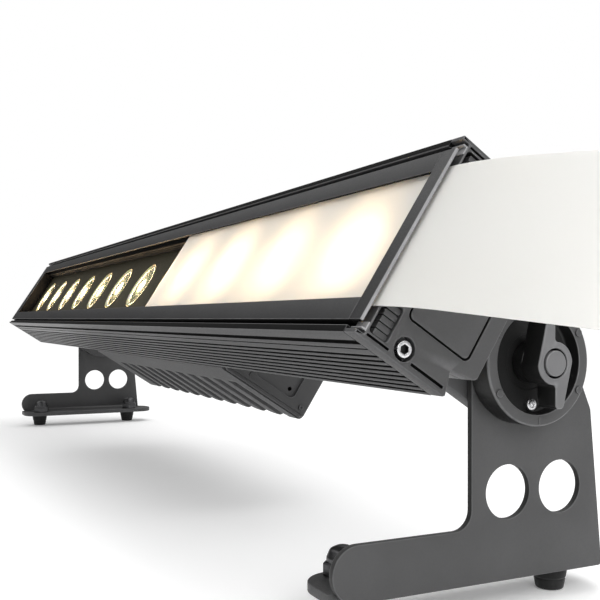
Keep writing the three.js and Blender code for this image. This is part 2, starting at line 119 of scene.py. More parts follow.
@dataclass(frozen=True)
class Placement:
    """A drawing frame: its origin in metres and its three unit axes as rows."""

    origin: np.ndarray
    axes: np.ndarray

    def place(self, points: np.ndarray) -> np.ndarray:
        """Moves drawing points into the row frame.

        Args:
            points: array (k, 3) in millimetres.

        Returns:
            Array (k, 3) in metres: origin plus each coordinate times its axis.
        """
        return self.origin + MM * points @ self.axes

    def turned_round(self) -> "Placement":
        """The same frame with x the other way, for the batten's left end."""
        return Placement(self.origin, self.axes * np.array([[-1.0], [1.0], [1.0]]))

    def at(self, side: Side) -> "Placement":
        """The frame in which a piece drawn for the right end lies at the given side."""
        return self if side is Side.RIGHT else self.turned_round()


def find_frames() -> tuple[Placement, Placement]:
    """Reads where the hub axis is from the two hub drums.

    Returns:
        The section frame and the stand frame.
    """
    low_r, high_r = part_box("hub_drum_right")
    low_l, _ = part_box("hub_drum_left")
    hub = np.array([
        (low_l.x + high_r.x) / 2,
        (low_r.y + high_r.y) / 2,
        (low_r.z + high_r.z) / 2,
    ])
    c, s = math.cos(TILT), math.sin(TILT)
    axes = np.array([[1.0, 0.0, 0.0], [0.0, c, -s], [0.0, s, c]])
    corner = hub - MM * np.array([0.0, HUB_N, MID_U]) @ axes
    return Placement(corner, axes), Placement(hub, np.eye(3))


# ---- Outlines ---------------------------------------------------------------------------


@dataclass
class Outline:
    """A closed line of 2-D points, and how worn each point's edge is, from 0 to 1."""

    points: np.ndarray
    worn: np.ndarray

    @property
    def area(self) -> float:
        """Signed area, half the sum of the cross products of neighbouring points."""
        x, y = self.points.T
        return float(np.sum(x * np.roll(y, -1) - np.roll(x, -1) * y) / 2)

    def wound(self, outward: bool) -> "Outline":
        """The outline run anticlockwise, or clockwise if it goes round a hole."""
        if (self.area > 0) == outward:
            return self
        return Outline(self.points[::-1].copy(), self.worn[::-1].copy())

    def inset(self, distance: float) -> np.ndarray:
        """Moves each point to the left of the line's direction.

        A point moves by distance times the sum of its two edge normals over one plus their dot
        product, which keeps every edge parallel to itself.
        """
        ahead = np.roll(self.points, -1, axis=0) - self.points
        ahead /= np.linalg.norm(ahead, axis=1)[:, None]
        normal = np.stack([-ahead[:, 1], ahead[:, 0]], axis=1)
        before = np.roll(normal, 1, axis=0)
        dot = np.maximum(1 + np.sum(normal * before, axis=1), 0.35)
        return self.points + distance * (normal + before) / dot[:, None]


def rounded(points: list, radius: float | list = 0.0, steps: int = 4) -> Outline:
    """Rounds the corners of a closed polygon with true arcs.

    Each corner is a quadratic curve through its two tangent points, with the corner as the
    middle control and the sine of half the corner angle as its weight, which is a circle's arc.

    Args:
        points: corner points in order.
        radius: one radius, or one for each corner.
        steps: number of segments in each arc.

    Returns:
        The outline, with its arcs marked as worn edges.
    """
    p = np.array(points, float)
    r = np.broadcast_to(np.array(radius, float), (len(p),))
    back, ahead = np.roll(p, 1, axis=0) - p, np.roll(p, -1, axis=0) - p
    len_a, len_b = np.linalg.norm(back, axis=1), np.linalg.norm(ahead, axis=1)
    ua, ub = back / len_a[:, None], ahead / len_b[:, None]
    half = np.arccos(np.clip(np.sum(ua * ub, axis=1), -1, 1)) / 2
    run = np.minimum(r / np.tan(np.clip(half, 0.02, 1.57)), 0.47 * np.minimum(len_a, len_b))
    t = np.linspace(0, 1, steps + 1)[None, :, None]
    weight = np.sin(half)[:, None, None]
    start, end = (p + ua * run[:, None])[:, None], (p + ub * run[:, None])[:, None]
    top = (1 - t) ** 2 * start + 2 * weight * t * (1 - t) * p[:, None] + t**2 * end
    curve = top / ((1 - t) ** 2 + 2 * weight * t * (1 - t) + t**2)
    worn = np.tile(np.sin(np.linspace(0, np.pi, steps + 1)), (len(p), 1))
    worn = worn * (run > 1e-6)[:, None]
    flat, mark = curve.reshape(-1, 2), worn.reshape(-1)
    keep = np.linalg.norm(flat - np.roll(flat, 1, axis=0), axis=1) > 1e-4
    return Outline(flat[keep], mark[keep])


def circle(a: float, b: float, radius: float, count: int = 32, start: float = 0.0) -> Outline:
    """A circle, or a regular polygon where count is small: radius times cosine and sine."""
    angle = start + np.linspace(0, 2 * np.pi, count, endpoint=False)
    points = np.stack([a + radius * np.cos(angle), b + radius * np.sin(angle)], axis=1)
    return Outline(points, np.zeros(count))


def oblong(a0: float, a1: float, b0: float, b1: float, radius: float, steps: int = 5) -> Outline:
    """A rectangle with rounded corners."""
    return rounded([(a0, b0), (a1, b0), (a1, b1), (a0, b1)], radius, steps)


def arc(a: float, b: float, radius: float, start: float, end: float, count: int) -> list:
    """Points on an arc, from the start angle to the end angle in degrees."""
    angle = np.radians(np.linspace(start, end, count))
    return list(np.stack([a + radius * np.cos(angle), b + radius * np.sin(angle)], axis=1))


# ---- Surfaces ---------------------------------------------------------------------------


@dataclass
class Surface:
    """A closed surface in drawing millimetres: points, four-sided and three-sided faces, marks."""

    points: np.ndarray
    quads: np.ndarray
    tris: np.ndarray
    marks: np.ndarray

    def turned(self, along: Along) -> "Surface":
        """Swaps coordinates so that the height runs along the given direction."""
        order = list(along.value)
        return Surface(self.points[:, order], self.quads, self.tris, self.marks)

    def moved(self, x: float = 0.0, y: float = 0.0, z: float = 0.0) -> "Surface":
        """The surface shifted by the given distances."""
        return Surface(self.points + np.array([x, y, z]), self.quads, self.tris, self.marks)

    def welded(self) -> "Surface":
        """Merges points that coincide, and drops the faces that this closes up."""
        keys = np.round(self.points / 2e-4).astype(np.int64)
        _, first, index = np.unique(keys, axis=0, return_index=True, return_inverse=True)
        index = index.reshape(-1)
        quads, tris = index[self.quads], index[self.tris]
        same = quads == np.roll(quads, -1, axis=1)
        doubled = same.sum(axis=1)
        folded = quads[doubled == 1]
        extra = folded[~same[doubled == 1]].reshape(-1, 3)
        tris = np.concatenate([tris, extra])
        whole = (tris != np.roll(tris, -1, axis=1)).all(axis=1)
        return Surface(self.points[first], quads[doubled == 0], tris[whole], self.marks[first])

    def volume(self, points: np.ndarray) -> float:
        """Signed volume at the given places: the sum over faces of a . (b x c) over six."""
        faces = np.concatenate([self.tris, self.quads[:, :3], self.quads[:, [0, 2, 3]]])
        a, b, c = points[faces[:, 0]], points[faces[:, 1]], points[faces[:, 2]]
        return float(np.sum(a * np.cross(b, c)) / 6)


def grid_faces(rows: int, columns: int, wrap_rows: bool, wrap_columns: bool) -> np.ndarray:
    """Four-sided faces of a grid of points numbered row by row."""
    i = np.arange(rows if wrap_rows else rows - 1)
    j = np.arange(columns if wrap_columns else columns - 1)
    i, j = np.meshgrid(i, j, indexing="ij")
    down, right = (i + 1) % rows, (j + 1) % columns
    faces = [i * columns + j, i * columns + right, down * columns + right, down * columns + j]
    return np.stack(faces, axis=-1).reshape(-1, 4)


def fill(loops: list) -> np.ndarray:
    """Triangles that fill an outer loop less its holes, all with points numbered in a row.

    Of the triangles between all the points, those are kept whose middle has an odd number of
    loop edges to its right.
    """
    points = np.concatenate(loops)
    sizes = [len(loop) for loop in loops]
    starts = np.concatenate([[0], np.cumsum(sizes)[:-1]])
    edges = [
        np.stack([s + np.arange(k), s + (np.arange(k) + 1) % k], axis=1)
        for s, k in zip(starts, sizes)
    ]
    found = delaunay_2d_cdt(
        [Vector(p) for p in points], np.concatenate(edges).tolist(), [], 0, 1e-6
    )
    origin = np.array([o[0] if o else -1 for o in found[3]])
    tris = origin[np.array(found[2], dtype=int).reshape(-1, 3)]
    tris = tris[(tris >= 0).all(axis=1)]
    x, y = points[tris].mean(axis=1).T[:, :, None]
    start, end = points, np.concatenate([np.roll(loop, -1, axis=0) for loop in loops])
    crossed = (start[:, 1] > y) != (end[:, 1] > y)
    rise = np.where(start[:, 1] == end[:, 1], 1.0, end[:, 1] - start[:, 1])
    at = start[:, 0] + (y - start[:, 1]) * (end[:, 0] - start[:, 0]) / rise
    return tris[(crossed & (x < at)).sum(axis=1) % 2 == 1]


NO_TRIS = np.zeros((0, 3), int)
QUARTER = np.linspace(0, np.pi / 2, 4)
EASE = np.sin(QUARTER)
RISE = 1 - np.cos(QUARTER)
SIDE_WEAR = (0.0, 0.8, 0.8, 0.0, 0.0, 0.8, 0.8, 0.0)
POCKET_WEAR = (0.0, 0.0, 0.7, 0.7, 0.0)


@dataclass
class Pocket:
    """A recess cut into a slab's top: its outline, its floor's height and holes in that floor."""

    outline: Outline
    floor: float
    holes: list = field(default_factory=list)


class SlabMaker:
    """Collects the rings of points and the filled faces that make up one closed slab."""

    def __init__(self) -> None:
        """Starts with nothing."""
        self.points: list = []
        self.marks: list = []
        self.quads: list = []
        self.tris: list = []
        self.count = 0

    def wall(self, loops: list, heights: list, worn: list, marks: np.ndarray) -> tuple[int, int]:
        """Adds a wall through matching loops at rising heights.

        Args:
            loops: arrays (k, 2), one for each height.
            heights: one height for each loop.
            worn: wear of each ring, added to the outline's own marks.
            marks: the outline's marks.

        Returns:
            Number of the first point of the lowest ring and of the highest ring.
        """
        size, first = len(marks), self.count
        rings = [np.column_stack([loop, np.full(size, h)]) for loop, h in zip(loops, heights)]
        self.points.append(np.concatenate(rings))
        self.marks.append(np.concatenate([np.maximum(marks, w) for w in worn]))
        self.quads.append(grid_faces(len(loops), size, False, True) + first)
        self.count += size * len(loops)
        return first, first + size * (len(loops) - 1)

    def lid(self, rings: list, upward: bool) -> None:
        """Fills between rings, each given as (points, first point number)."""
        tris = fill([points for points, _ in rings])
        numbers = np.concatenate([first + np.arange(len(points)) for points, first in rings])
        tris = numbers[tris]
        a, b, c = (np.concatenate(self.points)[tris[:, k], :2] for k in range(3))
        turn = (b - a)[:, 0] * (c - a)[:, 1] - (b - a)[:, 1] * (c - a)[:, 0]
        tris = np.where(((turn > 0) == upward)[:, None], tris, tris[:, ::-1])
        self.tris.append(tris)

    def surface(self) -> Surface:
        """The finished slab."""
        tris = np.concatenate(self.tris) if self.tris else NO_TRIS
        points, marks = np.concatenate(self.points), np.concatenate(self.marks)
        return Surface(points, np.concatenate(self.quads), tris, marks).welded()


def slab(
    outline: Outline,
    low: float,
    high: float,
    edge: float = 0.3,
    holes: tuple | list = (),
    pockets: tuple | list = (),
) -> Surface:
    """A plate with eased edges, through holes and recesses, closed all round.

    Its side is the outline at rising heights. Over the first and last bit of height, equal to
    edge, the outline is inset by edge times one minus the sine of a quarter turn.

    Args:
        outline: the plate's outer line.
        low: height of the underside.
        high: height of the top.
        edge: radius of the eased edges.
        holes: outlines of through holes.
        pockets: recesses in the top.

    Returns:
        The surface, with its height along the third coordinate.
    """
    maker = SlabMaker()
    bottom, top = [], []
    rise = edge * RISE
    inset = edge * (1 - EASE)
    heights = [*(low + rise), *(high - rise[::-1])]
    insets = [*inset, *inset[::-1]]
    for line, outward in [(outline, True)] + [(hole, False) for hole in holes]:
        line = line.wound(outward)
        loops = [line.inset(d) for d in insets]
        first, last = maker.wall(loops, heights, SIDE_WEAR, line.worn)
        bottom.append((loops[0], first))
        top.append((loops[-1], last))
    for pocket in pockets:
        line = pocket.outline.wound(False)
        ease = min(edge, 0.4 * (high - pocket.floor))
        tops = [line.inset(d) for d in ease * (1 - EASE)]
        loops = [line.points, *tops[::-1]]
        levels = [pocket.floor, *(high - ease * RISE)[::-1]]
        first, last = maker.wall(loops, levels, POCKET_WEAR, np.zeros(len(line.worn)))
        top.append((loops[-1], last))
        floor = [(loops[0], first)]
        for hole in pocket.holes:
            line = hole.wound(False)
            start, end = maker.wall([line.points] * 2, [low, pocket.floor], [0.0] * 2, line.worn)
            bottom.append((line.points, start))
            floor.append((line.points, end))
        maker.lid(floor, True)
    maker.lid(bottom, False)
    maker.lid(top, True)
    return maker.surface()


def turned(profile: Outline, segments: int = 48, closed: bool = False) -> Surface:
    """A turned piece: each profile point (radius, height) is carried round the axis.

    A point is (radius cos angle, radius sin angle, height). An open profile starts and ends on
    the axis, where its points merge; a closed one goes all round a ring's section.
    """
    angle = np.linspace(0, 2 * np.pi, segments, endpoint=False)
    r, h = profile.points[:, 0][:, None], profile.points[:, 1][:, None]
    points = np.stack([r * np.cos(angle), r * np.sin(angle), h + 0 * angle], axis=-1)
    marks = np.repeat(profile.worn, segments)
    quads = grid_faces(len(r), segments, closed, True)
    return Surface(points.reshape(-1, 3), quads, NO_TRIS, marks).welded()


def spun(points: list, radius: float | list = 0.0, segments: int = 48, steps: int = 4) -> Surface:
    """A turned piece from profile corners that start and end on the axis, corners rounded."""
    r = np.broadcast_to(np.array(radius, float), (len(points),)).copy()
    r[[0, -1]] = 0
    line = rounded(points, r, steps)
    start = int(np.argmin(np.linalg.norm(line.points - np.array(points[0]), axis=1)))
    line = Outline(np.roll(line.points, -start, axis=0), np.roll(line.worn, -start))
    return turned(line, segments)


def ring(points: list, radius: float | list = 0.0, segments: int = 64, steps: int = 4) -> Surface:
    """A turned ring from the corners of its closed section."""
    return turned(rounded(points, radius, steps), segments, closed=True)


def tube(outer: np.ndarray, inner: np.ndarray, marks: np.ndarray) -> Surface:
    """A hollow tube: an outer grid (stations, points, 3) and an inner grid, joined at both ends."""
    rows, size = outer.shape[:2]
    body = grid_faces(rows, size, False, True)
    count = rows * size
    j = np.arange(size)
    k = (j + 1) % size
    last = (rows - 1) * size
    near = np.stack([j, count + j, count + k, k], axis=1)
    far = np.stack([last + j, last + k, count + last + k, count + last + j], axis=1)
    points = np.concatenate([outer.reshape(-1, 3), inner.reshape(-1, 3)])
    quads = np.concatenate([body, count + body[:, ::-1], near, far])
    both = np.concatenate([marks.reshape(-1), np.zeros(count)])
    return Surface(points, quads, NO_TRIS, both)


def shell(mid: np.ndarray, normal: np.ndarray, thickness: float) -> Surface:
    """A thin closed sheet: a grid of points moved half its thickness each way along its normals."""
    rows, columns = mid.shape[:2]
    count = rows * columns
    body = grid_faces(rows, columns, False, False)
    number = np.arange(count).reshape(rows, columns)
    rim = np.concatenate([
        number[0, :-1], number[:-1, -1], number[-1, :0:-1], number[:0:-1, 0]
    ])
    after = np.roll(rim, -1)
    sides = np.stack([rim, rim + count, after + count, after], axis=1)
    front, back = mid - normal * thickness / 2, mid + normal * thickness / 2
    points = np.concatenate([front.reshape(-1, 3), back.reshape(-1, 3)])
    quads = np.concatenate([body, count + body[:, ::-1], sides])
    return Surface(points, quads, NO_TRIS, np.zeros(2 * count))


def hex_socket_screw(radius: float, low: float, high: float, key: float) -> Surface:
    """A cylindrical screw head with an eased rim and a hexagonal socket."""
    socket = Pocket(circle(0, 0, key, 6), high - 0.55 * (high - low))
    return slab(circle(0, 0, radius, 40), low, high, 0.35, pockets=[socket])


# ---- Node sheets and shared effects --------------------------------------------------------


class NodeSheet:
    """A node tree with short ways to add and link its nodes."""

    def __init__(self, tree: bpy.types.NodeTree) -> None:
        """Works on the given tree."""
        self.tree = tree
        self.column = 0

    def add(self, kind: str, **values: object) -> bpy.types.Node:
        """Adds a node and sets its properties; a value for an input goes by the input's name."""
        node = self.tree.nodes.new(kind)
        self.column += 1
        node.location = (180 * self.column, 0)
        for key, value in values.items():
            setattr(node, key, value)
        return node

    def link(self, start: bpy.types.NodeSocket, end: bpy.types.NodeSocket) -> None:
        """Joins an output to an input."""
        self.tree.links.new(start, end)

    def set(self, socket: bpy.types.NodeSocket, value: object) -> None:
        """Gives an input a link if the value is a socket, or else a fixed value."""
        if isinstance(value, bpy.types.NodeSocket):
            self.link(value, socket)
        else:
            socket.default_value = value

    def math(self, operation: str, a: object, b: object = 0.0, clamp: bool = False) -> object:
        """The result of a Math node on two values."""
        node = self.add("ShaderNodeMath", operation=operation, use_clamp=clamp)
        self.set(node.inputs[0], a)
        self.set(node.inputs[1], b)
        return node.outputs[0]

    def spread(self, value: object, low: float, high: float, to_low: float, to_high: float) -> object:
        """A value mapped from one span to another, held at the ends."""
        node = self.add("ShaderNodeMapRange", clamp=True)
        for name, given in zip(
            ("Value", "From Min", "From Max", "To Min", "To Max"),
            (value, low, high, to_low, to_high),
        ):
            self.set(node.inputs[name], given)
        return node.outputs["Result"]

    def blend(self, share: object, a: object, b: object) -> object:
        """A colour mixed from a to b by share."""
        node = self.add("ShaderNodeMix", data_type="RGBA", clamp_factor=True)
        self.set(node.inputs[0], share)
        self.set(node.inputs[6], a)
        self.set(node.inputs[7], b)
        return node.outputs[2]

    def noise(self, place: object, scale: float, detail: float = 2.0, rough: float = 0.5) -> object:
        """Noise over the given place, from 0 to 1."""
        node = self.add("ShaderNodeTexNoise")
        self.set(node.inputs["Vector"], place)
        self.set(node.inputs["Scale"], scale)
        self.set(node.inputs["Detail"], detail)
        self.set(node.inputs["Roughness"], rough)
        return node.outputs["Fac"]

    def ramp(self, value: object, stops: list) -> object:
        """A colour ramp through (place, colour) stops."""
        node = self.add("ShaderNodeValToRGB")
        elements = node.color_ramp.elements
        while len(elements) < len(stops):
            elements.new(0.5)
        for element, (place, colour) in zip(elements, stops):
            element.position = place
            element.color = (*colour, 1.0)
        self.set(node.inputs["Fac"], value)
        return node.outputs["Color"]

    def place(self) -> object:
        """Object coordinates."""
        return self.add("ShaderNodeTexCoord").outputs["Object"]

    def mark(self, name: str) -> object:
        """A value that the mesh carries."""
        node = self.add("ShaderNodeAttribute", attribute_name=name, attribute_type="GEOMETRY")
        return node.outputs["Fac"]

    def group(self, tree: bpy.types.NodeTree, **values: object) -> bpy.types.Node:
        """Places a node group and sets its inputs, where an underscore stands for a space."""
        node = self.add("ShaderNodeGroup", node_tree=tree)
        for key, value in values.items():
            self.set(node.inputs[key.replace("_", " ")], value)
        return node


def new_group(name: str, inputs: dict, outputs: dict) -> tuple[NodeSheet, object, object]:
    """Makes an empty node group.

    Args:
        name: the group's name.
        inputs: input names and default values.
        outputs: output names and socket types.

    Returns:
        The sheet to draw on, the group's input node and its output node.
    """
    tree = bpy.data.node_groups.new(name, "ShaderNodeTree")
    for key, value in inputs.items():
        kind = "NodeSocketFloat" if isinstance(value, float) else "NodeSocketColor"
        socket = tree.interface.new_socket(key, in_out="INPUT", socket_type=kind)
        socket.default_value = value
    for key, kind in outputs.items():
        tree.interface.new_socket(key, in_out="OUTPUT", socket_type=kind)
    sheet = NodeSheet(tree)
    return sheet, sheet.add("NodeGroupInput"), sheet.add("NodeGroupOutput")


def build_coat_grain() -> bpy.types.NodeTree:
    """Powder coat: fine orange-peel height, slow shade changes and a matching gloss change."""
    sheet, given, made = new_group(
        "coat_grain",
        {"Peel Scale": 1100.0, "Cloud Scale": 22.0},
        {"Height": "NodeSocketFloat", "Shade": "NodeSocketFloat", "Gloss": "NodeSocketFloat"},
    )
    place = sheet.place()
    peel = sheet.noise(place, given.outputs["Peel Scale"], 3.0, 0.6)
    half_scale = sheet.math("MULTIPLY", given.outputs["Peel Scale"], 0.31)
    broad = sheet.noise(place, half_scale, 1.0, 0.4)
    height = sheet.math("ADD", sheet.math("MULTIPLY", peel, 0.6), sheet.math("MULTIPLY", broad, 0.4))
    cloud = sheet.noise(place, given.outputs["Cloud Scale"], 4.0, 0.55)
    sheet.link(height, made.inputs["Height"])
    sheet.link(sheet.spread(cloud, 0.3, 0.7, 0.0, 1.0), made.inputs["Shade"])
    sheet.link(sheet.spread(peel, 0.35, 0.65, 0.0, 1.0), made.inputs["Gloss"])
    return sheet.tree


def build_edge_wear() -> bpy.types.NodeTree:
    """Rubbed edges: the mesh's edge mark broken up by noise, as a mask."""
    sheet, given, made = new_group(
        "edge_wear",
        {"Amount": 0.5, "Break Scale": 160.0},
        {"Mask": "NodeSocketFloat"},
    )
    edge = sheet.mark("worn")
    patch = sheet.noise(sheet.place(), given.outputs["Break Scale"], 4.0, 0.6)
    patch = sheet.spread(patch, 0.32, 0.68, 0.35, 1.0)
    mask = sheet.math("MULTIPLY", sheet.math("MULTIPLY", edge, patch), given.outputs["Amount"], True)
    sheet.link(mask, made.inputs["Mask"])
    return sheet.tree


def build_settled_dust() -> bpy.types.NodeTree:
    """Light dust on faces that look up: the upward share of the normal, broken by noise."""
    sheet, given, made = new_group(
        "settled_dust",
        {"Amount": 0.2, "Speck Scale": 420.0},
        {"Mask": "NodeSocketFloat"},
    )
    normal = sheet.add("ShaderNodeNewGeometry").outputs["Normal"]
    apart = sheet.add("ShaderNodeSeparateXYZ")
    sheet.link(normal, apart.inputs[0])
    up = sheet.spread(apart.outputs["Z"], 0.35, 1.0, 0.0, 1.0)
    speck = sheet.noise(sheet.place(), given.outputs["Speck Scale"], 5.0, 0.7)
    speck = sheet.spread(speck, 0.45, 0.75, 0.15, 1.0)
    mask = sheet.math("MULTIPLY", sheet.math("MULTIPLY", up, speck), given.outputs["Amount"], True)
    sheet.link(mask, made.inputs["Mask"])
    return sheet.tree


def build_fine_scratches() -> bpy.types.NodeTree:
    """Fine turning or drawing lines: noise stretched along one direction."""
    sheet, given, made = new_group(
        "fine_scratches",
        {"Line Scale": 900.0},
        {"Height": "NodeSocketFloat", "Streak": "NodeSocketFloat"},
    )
    stretch = sheet.add("ShaderNodeMapping", vector_type="POINT")
    sheet.link(sheet.place(), stretch.inputs["Vector"])
    stretch.inputs["Scale"].default_value = (0.05, 1.0, 1.0)
    line = sheet.noise(stretch.outputs[0], given.outputs["Line Scale"], 3.0, 0.6)
    sheet.link(line, made.inputs["Height"])
    sheet.link(sheet.spread(line, 0.3, 0.7, 0.0, 1.0), made.inputs["Streak"])
    return sheet.tree


@dataclass
class Effects:
    """The shared shader node groups."""

    grain: bpy.types.NodeTree = field(default_factory=build_coat_grain)
    wear: bpy.types.NodeTree = field(default_factory=build_edge_wear)
    dust: bpy.types.NodeTree = field(default_factory=build_settled_dust)
    lines: bpy.types.NodeTree = field(default_factory=build_fine_scratches)


Colour = tuple[float, float, float]
DUST = (0.32, 0.31, 0.29, 1)


def new_material(name: str) -> tuple[NodeSheet, bpy.types.Node, bpy.types.Material]:
    """A material with one Principled shader.

    Returns:
        Its node sheet, the shader and the material.
    """
    material = bpy.data.materials.new(name)
    material.use_nodes = True
    sheet = NodeSheet(material.node_tree)
    shader = next(n for n in material.node_tree.nodes if n.type == "BSDF_PRINCIPLED")
    return sheet, shader, material


def bump(sheet: NodeSheet, height: object, depth: float, strength: float) -> object:
    """A normal bumped by a height, with its depth in millimetres."""
    node = sheet.add("ShaderNodeBump")
    node.inputs["Distance"].default_value = depth * MM
    node.inputs["Strength"].default_value = strength
    sheet.link(height, node.inputs["Height"])
    return node.outputs[0]


@dataclass(frozen=True)
class CoatFinish:
    """Powder coat over metal, or moulded plastic where it has no bare edges."""

    name: str
    colour: Colour
    bare: Colour
    roughness: float = 0.48
    peel: float = 1100.0
    depth: float = 0.03
    wear: float = 0.35
    dust: float = 0.05
    specular: float = 0.5
    sheen: float = 0.0

    def make(self, effects: Effects) -> bpy.types.Material:
        """Builds the material: grain shades the colour and gloss, and edges rub lighter."""
        sheet, shader, material = new_material(self.name)
        grain = sheet.group(effects.grain, Peel_Scale=self.peel)
        wear = sheet.group(effects.wear, Amount=self.wear).outputs["Mask"]
        dust = sheet.group(effects.dust, Amount=self.dust).outputs["Mask"]
        dark = tuple(0.86 * c for c in self.colour)
        light = tuple(1.12 * c for c in self.colour)
        shade = sheet.blend(grain.outputs["Shade"], (*dark, 1), (*light, 1))
        rubbed = sheet.blend(wear, shade, (*self.bare, 1))
        dusty = sheet.blend(dust, rubbed, DUST)
        sheet.link(dusty, shader.inputs["Base Color"])
        gloss = sheet.spread(
            grain.outputs["Gloss"], 0.0, 1.0, self.roughness - 0.05, self.roughness + 0.06
        )
        smooth = sheet.math("SUBTRACT", gloss, sheet.math("MULTIPLY", wear, 0.12))
        sheet.link(smooth, shader.inputs["Roughness"])
        sheet.link(bump(sheet, grain.outputs["Height"], self.depth, 0.5), shader.inputs["Normal"])
        shader.inputs["Specular IOR Level"].default_value = self.specular
        if self.sheen:
            shader.inputs["Sheen Weight"].default_value = self.sheen
        return material


@dataclass(frozen=True)
class MetalFinish:
    """Bare, plated or blackened metal with fine lines."""

    name: str
    colour: Colour
    shadow: Colour
    roughness: float = 0.25
    lines: float = 900.0

    def make(self, effects: Effects) -> bpy.types.Material:
        """Builds the material: fine lines change its colour, gloss and normal a little."""
        sheet, shader, material = new_material(self.name)
        line = sheet.group(effects.lines, Line_Scale=self.lines)
        tint = sheet.blend(line.outputs["Streak"], (*self.shadow, 1), (*self.colour, 1))
        sheet.link(tint, shader.inputs["Base Color"])
        gloss = sheet.spread(
            line.outputs["Streak"], 0.0, 1.0, self.roughness + 0.08, self.roughness
        )
        sheet.link(gloss, shader.inputs["Roughness"])
        shader.inputs["Metallic"].default_value = 1.0
        sheet.link(bump(sheet, line.outputs["Height"], 0.01, 0.4), shader.inputs["Normal"])
        return material


@dataclass(frozen=True)
class LensFinish:
    """Clear acrylic collimator lens, lit from behind by its own LED.

    What the camera sees is the bright core and dim rings; what the lens throws on other pieces
    is one even, warm beam from its whole face.
    """

    name: str
    strength: float = 12.0
    thrown: Colour = (2.0, 1.40, 0.78)

    def make(self, effects: Effects) -> bpy.types.Material:
        """Builds the material: light falls off from the core to a pale rim, with painted coloured
        glints.
        """
        sheet, shader, material = new_material(self.name)
        away = sheet.mark("away")
        core = sheet.ramp(away, [
            (0.0, (1.0, 1.0, 0.94)),
            (0.22, (1.0, 0.98, 0.90)),
            (0.34, (0.06, 0.058, 0.040)),
            (0.46, (0.016, 0.016, 0.010)),
            (0.80, (0.010, 0.0095, 0.0065)),
            (0.90, (0.034, 0.031, 0.025)),
            (1.0, (0.040, 0.036, 0.029)),
        ])
        place = sheet.place()
        # Painted glints: orange, lime and blue specks multiplied into the seen emission stand for the
        # lens's colour fringes.
        speck = sheet.noise(place, 170.0, 2.0, 0.6)
        tint = sheet.ramp(speck, [
            (0.30, (1.0, 0.45, 0.20)),
            (0.40, (1.0, 0.95, 0.85)),
            (0.50, (0.62, 1.0, 0.12)),
            (0.58, (1.0, 0.97, 0.90)),
            (0.72, (0.60, 0.62, 1.0)),
        ])
        mixed = sheet.add("ShaderNodeMix", data_type="RGBA", blend_type="MULTIPLY")
        mixed.inputs[0].default_value = 0.92
        sheet.link(core, mixed.inputs[6])
        sheet.link(tint, mixed.inputs[7])
        seen = sheet.add("ShaderNodeLightPath").outputs["Is Camera Ray"]
        thrown = sheet.blend(seen, (*self.thrown, 1), mixed.outputs[2])
        sheet.link(thrown, shader.inputs["Emission Color"])
        shader.inputs["Emission Strength"].default_value = self.strength
        base = sheet.blend(sheet.noise(place, 60.0), (0.09, 0.088, 0.07, 1), (0.2, 0.19, 0.15, 1))
        sheet.link(base, shader.inputs["Base Color"])
        rough = sheet.spread(sheet.noise(place, 500.0), 0.3, 0.7, 0.08, 0.2)
        sheet.link(rough, shader.inputs["Roughness"])
        shader.inputs["Coat Weight"].default_value = 0.5
        sheet.link(bump(sheet, sheet.noise(place, 260.0), 0.25, 0.6), shader.inputs["Normal"])
        return material


@dataclass(frozen=True)
class FrostFinish:
    """Frosted polyester film that spreads the light behind it."""

    name: str
    colour: Colour = (0.93, 0.93, 0.915)
    passing: float = 0.55

    def make(self, effects: Effects) -> bpy.types.Material:
        """Builds the material: a rough, part-clear sheet with a fine frost and slight clouding."""
        sheet, shader, material = new_material(self.name)
        place = sheet.place()
        cloud = sheet.noise(place, 14.0, 3.0, 0.5)
        warm = tuple(c * k for c, k in zip(self.colour, (0.985, 0.975, 0.955)))
        tint = sheet.blend(cloud, (*self.colour, 1), (*warm, 1))
        sheet.link(tint, shader.inputs["Base Color"])
        frost = sheet.noise(place, 1500.0, 2.0, 0.6)
        sheet.link(sheet.spread(frost, 0.3, 0.7, 0.84, 0.96), shader.inputs["Roughness"])
        shader.inputs["Transmission Weight"].default_value = self.passing
        shader.inputs["IOR"].default_value = 1.22
        sheet.link(bump(sheet, frost, 0.02, 0.25), shader.inputs["Normal"])
        return material


@dataclass(frozen=True)
class SpeckledFinish:
    """A matt moulded or printed surface with two tones and a speckle, such as board or resin."""

    name: str
    colour: Colour
    second: Colour
    roughness: float
    scale: float
    coat: float = 0.0

    def make(self, effects: Effects) -> bpy.types.Material:
        """Builds the material: two tones mixed by noise, with a fine grain in the normal."""
        sheet, shader, material = new_material(self.name)
        place = sheet.place()
        share = sheet.spread(sheet.noise(place, self.scale, 3.0, 0.6), 0.4, 0.6, 0.0, 1.0)
        sheet.link(
            sheet.blend(share, (*self.colour, 1), (*self.second, 1)), shader.inputs["Base Color"]
        )
        grain = sheet.noise(place, 900.0, 2.0, 0.5)
        sheet.link(
            sheet.spread(grain, 0.3, 0.7, self.roughness - 0.04, self.roughness + 0.05),
            shader.inputs["Roughness"],
        )
        shader.inputs["Coat Weight"].default_value = self.coat
        sheet.link(bump(sheet, grain, 0.02, 0.4), shader.inputs["Normal"])
        return material


